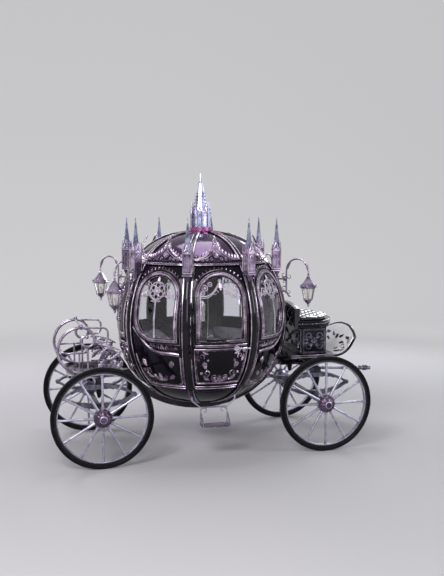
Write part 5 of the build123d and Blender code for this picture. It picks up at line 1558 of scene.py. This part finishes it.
@joined
def lantern_trim():
    """Roof ribs, eaves roll, crown, window bars, cup rings and drop of one lantern."""
    x, y = LAMP_AT
    a = np.radians(60 * np.arange(6))
    corner = np.stack([x + 0.096 * np.cos(a), y + 0.096 * np.sin(a), np.full(6, 1.917)], 1)
    yield tube(spread(corner, 0.012), 0.0065, sides=6, closed=True)
    for k in range(6):
        foot = corner[k] + np.array([0, 0, 0.004])
        yield tube([foot, 0.5 * (foot + [x, y, 2.04]), [x, y, 2.04]], 0.0042, (0.3, 0.2, 1), 6)
        yield moved(ball(0.0095, 5, 8), np.diag([1, 1, 1.5]), corner[k] + [0, 0, 0.014])
        yield moved(ball(0.006), None, corner[k] - [0, 0, 0.012])
    for z, r in ((1.77, 0.0575), (1.9, 0.08)):
        ring = np.stack([x + r * np.cos(a), y + r * np.sin(a), np.full(6, z)], 1)
        yield tube(spread(ring, 0.012), 0.004, sides=6, closed=True)
    crown = [(0.014, 2.03), (0.022, 2.036), (0.014, 2.044), (0.009, 2.052), (0.016, 2.062),
             (0.009, 2.072), (0.006, 2.092)]
    yield lathe(crown, 14, (x, y, 0))
    cup = [(0.03, 1.748), (0.04, 1.742), (0.036, 1.736), (0.022, 1.728), (0.016, 1.716), (0.011, 1.708),
           (0.014, 1.7), (0.009, 1.692), (0.004, 1.68)]
    yield lathe(cup, 14, (x, y, 0))


@joined
def bracket_curls():
    """Volutes and leaves of one lantern's bracket, drawn flat: along from the rib, height."""
    for x, z, r0, r1, a0, a1, w in (
            (0.082, 2.045, 0.038, 0.009, 0, -300, 0.007), (0.085, 1.88, 0.035, 0.008, 0, 300, 0.0065),
            (0.158, 2.03, 0.036, 0.009, 180, 470, 0.0065), (0.152, 1.85, 0.03, 0.008, 180, 480, 0.006),
            (0.09, 1.955, 0.026, 0.007, 0, 300, 0.0055)):
        yield curl((x, z), r0, r1, a0, a1, w)
    for x, z, length, width, a, bend in (
            (0.13, 2.1, 0.095, 0.016, 80, -0.28), (0.395, 2.105, 0.085, 0.015, 100, 0.28),
            (0.12, 1.835, 0.075, 0.014, -60, 0.35), (0.105, 1.96, 0.07, 0.013, 110, 0.3)):
        yield leaf((x, z), length, width, a, bend, 3, 0.01, -0.004)


def dress_lanterns():
    """Trim, candles and bracket curls of the four lanterns."""
    axis = (*LAMP_AT, 0)
    piece("lantern_trim", four_corners(lantern_trim()), "lamp_metal", "lamp_metal")
    piece("bracket_curls", four_corners(bracket_plane(bracket_curls())), "scroll_metal", "scroll_metal")
    candle = lathe([(0.012, 1.7605), (0.012, 1.842), (0.01, 1.846), (0.002, 1.843)], 16, axis)
    dish = lathe([(0.024, 1.7605), (0.028, 1.768), (0.024, 1.768), (0.013, 1.764)], 20, axis)
    wick = lathe([(0.0012, 1.84), (0.0012, 1.853)], 6, axis)
    piece("candles", four_corners(candle), "candle_wax", "lamp_metal")
    piece("candle_dishes", four_corners(join([dish, wick])), "lamp_metal", "lamp_metal")


@joined
def step_shapes():
    """One step: raised bars on its tread, an edge roll and curls under its hanger."""
    for x in np.linspace(-0.135, 0.135, 13):
        yield tube([(x, y, 0.3752) for y in (-0.768, -0.6975, -0.627)], 0.0035, sides=6)
    for y in (-0.745, -0.6975, -0.65):
        yield tube([(x, y, 0.3765) for x in (-0.15, 0, 0.15)], 0.0032, sides=6)
    edge = spread(np.array([(-0.163, -0.778), (0.163, -0.778), (0.163, -0.617), (-0.163, -0.617)]), 0.02)
    yield tube(lifted(edge, 0.367), 0.0085, closed=True)
    for side in BOTH_SIDES:
        a = 90 - 90 * side
        volute = curl((side * 0.108, 0.52), 0.04, 0.01, a, a + 290 * side, 0.006)
        yield bent(volute, lambda v: np.stack([v[:, 0], v[:, 2] - 0.615, v[:, 1]], 1))


def dress_steps():
    """The trim of both hanging steps."""
    one = moved(step_shapes(), None, (AXIS_X, 0, 0))
    piece("step_trim", join([one, moved(one, MIRROR_Y)]), "step_metal", "step_metal")


def dress_door_fittings():
    """Rosette, screws and a turned lever end on each door handle, and finials on the hinge pins."""
    x, z = HANDLE_AT
    r = cabin_at(z)[0]
    y = -math.sqrt(r * r - x * x)
    out = np.array([x, y, 0]) / r
    across = np.array([out[1], -out[0], 0])
    turn = np.stack([across, np.array([0, 0, 1]), out], 1)
    flat = [rosette((0, 0), 0.03, 8, 0.007, 0.001)]
    for a in np.radians([45, 135, 225, 315]):
        screw = (0.021 * math.cos(a), 0.021 * math.sin(a), 0.006)
        flat.append(moved(ball(0.0035, 4, 8), None, screw))
    rose = moved(join(flat), turn, (x + AXIS_X, y, z))
    grip = np.array([x + AXIS_X, y, z]) + out * 0.042
    bands = []
    for share, size in ((0.12, 0.01), (0.35, 0.009), (0.4, 0.0105), (0.45, 0.009), (0.82, 0.01)):
        at = grip + np.array([0.13, -0.0065, 0]) * share
        profile = [(0.7 * size, -0.005), (size, -0.002), (size, 0.002), (0.7 * size, 0.005)]
        bands.append(lathe(profile, 14, at, "x"))
    fitting = join([outward(rose), join(bands)])
    piece("handle_trim_right", fitting, "handle_metal", "handle_metal", "door_right")
    piece("handle_trim_left", moved(fitting, MIRROR_Y), "handle_metal", "handle_metal", "door_left")
    tip = moved(ball(0.0105, 6, 12), np.diag([1, 1, 1.2]))
    tips = join([moved(tip, None, (*HINGE_PIN, z + sign * 0.0665))
                 for z in HINGE_HEIGHTS for sign in BOTH_SIDES])
    piece("hinge_finials", join([tips, moved(tips, MIRROR_Y)]), "rib_lacquer", "handle_metal")


# upholstery

CLOTH_FRAMES = 20


def swollen_copy(node, name, voxel, shrink, cap):
    """A copy of a cushion's solid, drawn in a little, remeshed and blown up by cloth simulation:
    no point moves further than the cap."""
    mesh = frame["nodes"][node].data.copy()
    mesh.name = name
    obj = bpy.data.objects.new(name, mesh)
    bpy.context.scene.collection.objects.link(obj)
    weld = obj.modifiers.new("Weld", "WELD")
    weld.merge_threshold = 0.0001
    remesh = obj.modifiers.new("Remesh", "REMESH")
    remesh.mode = "VOXEL"
    remesh.voxel_size = voxel
    bake(obj)
    co, normals = points_of(obj.data)
    rest = co - shrink * normals
    set_points(obj, rest)
    cloth = obj.modifiers.new("Cloth", "CLOTH")
    cloth.settings.quality = 4
    cloth.settings.mass = 0.3
    cloth.settings.use_pressure = True
    cloth.settings.uniform_pressure_force = 4
    cloth.settings.effector_weights.gravity = 0
    cloth.point_cache.frame_start, cloth.point_cache.frame_end = 1, CLOTH_FRAMES
    for number in range(1, CLOTH_FRAMES + 1):
        bpy.context.scene.frame_set(number)
    bake(obj)
    bpy.context.scene.frame_set(1)
    move = points_of(obj.data)[0] - rest
    length = np.maximum(np.linalg.norm(move, axis=1, keepdims=True), 1e-9)
    set_points(obj, rest + move * np.minimum(1, cap / length))
    smooth = obj.modifiers.new("Subdivision", "SUBSURF")
    smooth.levels = smooth.render_levels = 1
    bake(obj)
    return obj


def bake(obj):
    """Turns the object's modifiers into its mesh."""
    graph = bpy.context.evaluated_depsgraph_get()
    graph.update()
    mesh = bpy.data.meshes.new_from_object(obj.evaluated_get(graph))
    obj.modifiers.clear()
    obj.data = mesh


def points_of(mesh):
    """The mesh's points and their normals as arrays."""
    count = len(mesh.vertices)
    co, normals = np.zeros(count * 3), np.zeros(count * 3)
    mesh.vertices.foreach_get("co", co)
    mesh.vertices.foreach_get("normal", normals)
    return co.reshape(-1, 3), normals.reshape(-1, 3)


def set_points(obj, points):
    """Moves the mesh's points to new places."""
    obj.data.vertices.foreach_set("co", points.astype(np.float32).ravel())


def diamond(u, v, step_u, step_v):
    """Depth of diamond tufting, 0 to 1: creases along both diagonals, deepest where they cross."""
    p, q = u / step_u + v / step_v, u / step_u - v / step_v
    crease = [np.exp(-((k - np.round(k)) / 0.13) ** 2) for k in (p, q)]
    return 0.35 * np.maximum(*crease) + 0.65 * crease[0] * crease[1]


def tuft(obj, facing, u, v, steps, depth, keep):
    """Presses diamond tufting into the faces of a pad that look along the facing directions, and
    returns the places of its buttons."""
    co, normals = points_of(obj.data)
    facing = np.broadcast_to(facing, normals.shape)
    look = np.clip((np.abs(np.einsum("ij,ij->i", normals, facing)) - 0.55) / 0.35, 0, 1)
    mask = look * keep
    press = depth * diamond(u, v, *steps) * mask
    moved_to = co - press[:, None] * normals
    set_points(obj, moved_to)
    obj.data.update()
    p, q = u / steps[0] + v / steps[1], u / steps[0] - v / steps[1]
    key = np.stack([np.round(p), np.round(q), np.sign(np.einsum("ij,ij->i", normals, facing))], 1)
    miss = np.hypot(p - key[:, 0], q - key[:, 1])
    chosen = []
    for row in np.unique(key[(mask > 0.9) & (miss < 0.12)], axis=0):
        near = np.where((key == row).all(1) & (mask > 0.9), miss, 9)
        chosen.append(int(near.argmin()))
    return moved_to[chosen]


def soften(values, low, high, margin):
    """1 inside a range and falling smoothly to 0 within a margin of its ends."""
    return np.clip((values - low) / margin, 0, 1) * np.clip((high - values) / margin, 0, 1)


def finish_pad(obj, node, slot, spots):
    """Material, smooth shading and body of a pad, the part's cushion hidden, and its buttons."""
    obj.data.materials.clear()
    obj.data.materials.append(MATERIALS[slot])
    obj.data.polygons.foreach_set("use_smooth", np.ones(len(obj.data.polygons), bool))
    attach(obj, "carriage")
    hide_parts(node)
    if len(spots):
        piece(obj.name + "_buttons", copies(ball(0.0085, 5, 8), spots), slot, slot, angle=80)


def dress_seats(settings):
    """Tufted leather on the box, tufted cloth in the cabin, all blown up from the part's solids,
    and the cabin's carpet."""
    depth = settings.tuft_depth
    z_axis = np.array([0, 0, 1])
    x_axis = np.array([1, 0, 0])
    pad = swollen_copy("seat_cushion", "tufted_seat", 0.01, 0.007, 0.009)
    x, y, z = points_of(pad.data)[0].T
    keep = soften(y, -0.41, 0.41, 0.03) * (z > 1.5)
    spots = tuft(pad, z_axis, x - 1.1, y, (0.15, 0.15), depth, keep)
    finish_pad(pad, "seat_cushion", "seat_leather", spots)
    pad = swollen_copy("seat_back", "tufted_back", 0.009, 0.006, 0.008)
    x, y, z = points_of(pad.data)[0].T
    keep = soften(y, -0.43, 0.43, 0.02) * soften(z, 1.42, 1.68, 0.015)
    spots = tuft(pad, x_axis, y, z - 1.555, (0.16, 0.14), depth, keep)
    finish_pad(pad, "seat_back", "seat_leather", spots)
    for end, sign in (("rear", -1), ("front", 1)):
        pad = swollen_copy("bench_cushion_" + end, "bench_pad_" + end, 0.019, 0.01, 0.012)
        x, y, z = points_of(pad.data)[0].T
        keep = (z > 1.24) * soften(y, -0.72, 0.72, 0.04)
        spots = tuft(pad, z_axis, x - AXIS_X - sign * 0.6, y, (0.2, 0.2), depth, keep)
        finish_pad(pad, "bench_cushion_" + end, "cabin_upholstery", spots)
        pad = swollen_copy("bench_back_" + end, "back_pad_" + end, 0.017, 0.008, 0.01)
        co, normals = points_of(pad.data)
        x, y, z = co.T
        angle = np.arctan2(y, sign * (x - AXIS_X))
        inward = np.stack([-sign * np.cos(angle), -np.sin(angle), 0 * angle], 1)
        keep = soften(angle, -0.3, 0.3, 0.03) * soften(z, 1.31, 1.82, 0.02)
        look = np.einsum("ij,ij->i", normals, inward) > 0
        spots = tuft(pad, inward, angle * 0.9, z - 1.56, (0.16, 0.18), depth, keep * look)
        finish_pad(pad, "bench_back_" + end, "cabin_upholstery", spots)
    disc = [(0.001, 0.8584), (0.6, 0.8584), (0.606, 0.861), (0.6, 0.864), (0.001, 0.864)]
    carpet = piece("floor_carpet", lathe(disc, 64, (AXIS_X, 0, 0)), "carpet", "floor_wood")


# stage


# share of its colour that the paper throws on the carriage, its lift far behind it, and the
# distances between which the lift grows
PAPER_THROWN = 0.13
PAPER_LIFT = 0.78
PAPER_LIFT_FROM_TO = (2.2, 10.5)
# strength of the world as light, and as it is seen
WORLD_STRENGTH = 0.14
WORLD_SEEN = 0.7


def seen_rays(tree):
    """1 for the eye's own rays, for mirrored ones and for those through glass, 0 for the rest."""
    path = tree.nodes.new("ShaderNodeLightPath").outputs
    mirrored = math_of(tree, "MAXIMUM", path["Is Camera Ray"], path["Is Glossy Ray"])
    return math_of(tree, "MAXIMUM", mirrored, path["Is Transmission Ray"])


def paper_material(name, colour):
    """Matt studio paper: its own pale colour to the eye, in mirrors and through glass, and darker
    to diffuse rays, which would throw its light on the carriage. Far from the carriage, where the
    lamps no longer reach, the paper is lifted."""
    tree = new_material(name)
    seen = seen_rays(tree)
    away = add(tree, "VectorMath", {0: object_coords(tree)}, "Value", operation="LENGTH")
    lift = ranged(tree, away, *PAPER_LIFT_FROM_TO, 0, PAPER_LIFT, interpolation_type="SMOOTHSTEP")
    thrown = (*[PAPER_THROWN * c for c in colour], 1)
    shade(tree, {"Base Color": mixed(tree, seen, thrown, (*colour, 1)),
                 "Emission Color": (*colour, 1),
                 "Emission Strength": math_of(tree, "MULTIPLY", lift, seen),
                 "Roughness": 0.9,
                 "Specular IOR Level": 0.1})


def make_floor(colour):
    """A floor that curves up into a backdrop: height is 0 near the object and rises with the
    square of the distance past 9 metres behind it."""
    x = np.linspace(-30, 30, 31)
    y = np.linspace(-20, 30, 61)
    x, y = np.meshgrid(x, y, indexing="ij")
    z = 0.35 * np.maximum(y - 9, 0) ** 2 / 3
    v = np.stack([x, y, z], -1).reshape(-1, 3)
    mesh = bpy.data.meshes.new("studio_floor")
    q = grid_quads(*x.shape)
    mesh.from_pydata(v.tolist(), [], q.tolist())
    mesh.polygons.foreach_set("use_smooth", np.ones(len(q), bool))
    paper_material("studio_paper", colour)
    mesh.materials.append(MATERIALS["studio_paper"])
    floor = bpy.data.objects.new("studio_floor", mesh)
    bpy.context.scene.collection.objects.link(floor)


# name, place, size, power, colour
LAMPS = [
    ("key_light", (-4, -5.5, 6), 3, 290, (1, 0.96, 1)),
    ("fill_light", (5.5, -4.5, 3.5), 2.6, 140, (0.93, 0.94, 1)),
    ("front_light", (-3.6, -10, 3.8), 4, 170, (1, 0.98, 1)),
    ("top_light", (0, 0.5, 6.5), 3, 130, (1, 1, 1)),
    ("rim_light", (-3.5, 5, 4.5), 2.4, 150, (0.96, 0.9, 1)),
    ("far_rim_light", (4.5, 5, 4), 2.4, 130, (0.9, 0.92, 1)),
]


def make_lights(strength):
    """Large soft lamps that look at the carriage, and an even pale world."""
    for name, place, size, power, colour in LAMPS:
        data = bpy.data.lights.new(name, "AREA")
        data.size = size
        data.energy = power * strength
        data.color = colour
        lamp = bpy.data.objects.new(name, data)
        lamp.location = place
        aim = np.array([0, 0, 1.2]) - np.array(place)
        yaw, pitch = math.atan2(aim[1], aim[0]), math.atan2(aim[2], math.hypot(aim[0], aim[1]))
        lamp.rotation_euler = (pitch + math.pi / 2, 0, yaw - math.pi / 2)
        bpy.context.scene.collection.objects.link(lamp)
    world = bpy.data.worlds.new("studio_world")
    world.use_nodes = True
    tree = world.node_tree
    glow = ranged(tree, seen_rays(tree), 0, 1, WORLD_STRENGTH, WORLD_SEEN)
    set_sockets(tree, tree.nodes["Background"], {"Color": (0.8, 0.8, 0.82, 1), "Strength": glow})
    bpy.context.scene.world = world


def make_camera():
    """The photograph's viewpoint, found from the wheels and the cabin."""
    data = bpy.data.cameras.new("camera")
    data.lens = 50
    data.sensor_fit = "AUTO"
    data.sensor_width = 36
    data.clip_end = 200
    camera = bpy.data.objects.new("camera", data)
    camera.location = (-2.43325, -9.31, 2.8)
    camera.rotation_euler = (math.radians(90 - 5.56), 0, math.radians(-15.05))
    bpy.context.scene.collection.objects.link(camera)
    bpy.context.scene.camera = camera


# add-on


class CarriageSettings(bpy.types.PropertyGroup):
    """Sizes and colours of the dressing."""
    bead_radius: FloatProperty(name="Bead radius", description="Radius of the beads along the ribs",
                               default=0.0065, min=0.002, max=0.01, unit="LENGTH")
    bead_step: FloatProperty(name="Bead step", description="Distance from bead to bead",
                             default=0.0145, min=0.008, max=0.04, unit="LENGTH")
    tuft_depth: FloatProperty(name="Tuft depth", description="How deep the buttons draw the pads in",
                              default=0.016, min=0.0, max=0.03, unit="LENGTH")
    light_strength: FloatProperty(name="Light strength", description="Scales all the studio lamps",
                                  default=1.0, min=0.1, max=3.0)
    floor_colour: FloatVectorProperty(name="Floor colour", description="Colour of the studio paper",
                                      subtype="COLOR", size=3, default=(0.6, 0.6, 0.61), min=0.0, max=1.0)


def settings_of(context):
    """The settings that the panel shows."""
    return context.scene.carriage_settings


class CARRIAGE_OT_finishes(bpy.types.Operator):
    """Makes the finishes and gives them to the part's nodes"""
    bl_idname = "carriage.finishes"
    bl_label = "Finishes"

    def execute(self, context):
        make_materials()
        dress_nodes()
        return {"FINISHED"}


class CARRIAGE_OT_ribs(bpy.types.Operator):
    """Adds the rolls and beads of the ribs, the sill and the cornice"""
    bl_idname = "carriage.ribs"
    bl_label = "Ribs and cornice"

    def execute(self, context):
        bands, edges, beads = rib_shapes(settings_of(context))
        rings, ring_beads = cornice_shapes()
        piece("rib_bands", bands, "rib_lacquer", "rib_lacquer")
        piece("rib_edges", edges, "moulding_metal", "rib_lacquer")
        piece("rib_beads", beads, "tracery_metal", "rib_lacquer", angle=80)
        piece("ring_rolls", rings, "moulding_metal", "rib_lacquer")
        piece("cornice_beads", ring_beads, "moulding_metal", "rib_lacquer", angle=80)
        piece("cresting", cresting_shapes(), "moulding_metal", "turret_metal")
        return {"FINISHED"}


class CARRIAGE_OT_bays(bpy.types.Operator):
    """Adds the mouldings, tracery and carving of the windows, doors and end panels"""
    bl_idname = "carriage.bays"
    bl_label = "Windows, doors and panels"

    def execute(self, context):
        for azimuth, sweep, body, name in WINDOW_BAYS:
            dress_window_bay(azimuth, sweep, body, name, settings_of(context))
        dress_end_bay(0, "front", settings_of(context))
        dress_end_bay(180, "rear", settings_of(context))
        dress_door_fittings()
        return {"FINISHED"}


class CARRIAGE_OT_spires(bpy.types.Operator):
    """Adds the trim of the corner turrets, their spires and the crown"""
    bl_idname = "carriage.spires"
    bl_label = "Turrets and spires"

    def execute(self, context):
        piece("turret_trim", around(turret_shapes(), RIB_AZIMUTHS), "moulding_metal", "turret_metal")
        piece("spire_crockets", around(turret_spire_shapes(), RIB_AZIMUTHS), "spire_metal", "spire_metal")
        collar, trim, needle = crown_shapes()
        piece("collar_trim", collar, "collar_enamel", "collar_enamel")
        piece("crown_trim", trim, "moulding_metal", "spire_metal")
        piece("crown_crockets", needle, "spire_metal", "spire_metal")
        return {"FINISHED"}


class CARRIAGE_OT_wheels(bpy.types.Operator):
    """Adds hub caps, rings, collars, bolts and tyre ridges to the wheels"""
    bl_idname = "carriage.wheels"
    bl_label = "Wheels"

    def execute(self, context):
        dress_wheels()
        return {"FINISHED"}


class CARRIAGE_OT_running_gear(bpy.types.Operator):
    """Adds spring leaves, clips, studs and rings to the running gear"""
    bl_idname = "carriage.running_gear"
    bl_label = "Running gear"

    def execute(self, context):
        dress_running_gear()
        dress_steps()
        return {"FINISHED"}


class CARRIAGE_OT_ends(bpy.types.Operator):
    """Adds the rear leafwork, the driver's box carving, the dash lining and the lanterns' trim"""
    bl_idname = "carriage.ends"
    bl_label = "Rear, box and lanterns"

    def execute(self, context):
        dress_rear()
        dress_driver_box()
        dress_lanterns()
        return {"FINISHED"}


class CARRIAGE_OT_seats(bpy.types.Operator):
    """Makes the tufted seats, benches and backs, and the carpet"""
    bl_idname = "carriage.seats"
    bl_label = "Upholstery"

    def execute(self, context):
        dress_seats(settings_of(context))
        return {"FINISHED"}


class CARRIAGE_OT_stage(bpy.types.Operator):
    """Makes the floor, the lamps and the camera"""
    bl_idname = "carriage.stage"
    bl_label = "Stage"

    def execute(self, context):
        settings = settings_of(context)
        make_floor(tuple(settings.floor_colour))
        make_lights(settings.light_strength)
        make_camera()
        context.scene.view_settings.view_transform = "Standard"
        return {"FINISHED"}


STEPS = [CARRIAGE_OT_finishes, CARRIAGE_OT_ribs, CARRIAGE_OT_bays, CARRIAGE_OT_spires, CARRIAGE_OT_wheels,
         CARRIAGE_OT_running_gear, CARRIAGE_OT_ends, CARRIAGE_OT_seats, CARRIAGE_OT_stage]


class CARRIAGE_PT_panel(bpy.types.Panel):
    """Sidebar panel with the settings and one button for each step"""
    bl_idname = "CARRIAGE_PT_panel"
    bl_label = "Carriage"
    bl_space_type = "VIEW_3D"
    bl_region_type = "UI"
    bl_category = "Carriage"

    def draw(self, context):
        settings = settings_of(context)
        for label in CarriageSettings.__annotations__:
            self.layout.prop(settings, label)
        for step in STEPS:
            self.layout.operator(step.bl_idname)


CLASSES = [CarriageSettings, *STEPS, CARRIAGE_PT_panel]


def register():
    """Registers the classes and the settings."""
    for cls in CLASSES:
        bpy.utils.register_class(cls)
    bpy.types.Scene.carriage_settings = PointerProperty(type=CarriageSettings)


def unregister():
    """Takes them away again."""
    del bpy.types.Scene.carriage_settings
    for cls in reversed(CLASSES):
        bpy.utils.unregister_class(cls)


def main():
    """Runs every step in order."""
    register()
    bpy.ops.carriage.finishes()
    bpy.ops.carriage.ribs()
    bpy.ops.carriage.bays()
    bpy.ops.carriage.spires()
    bpy.ops.carriage.wheels()
    bpy.ops.carriage.running_gear()
    bpy.ops.carriage.ends()
    bpy.ops.carriage.seats()
    bpy.ops.carriage.stage()


if __name__ == "__main__":
    main()
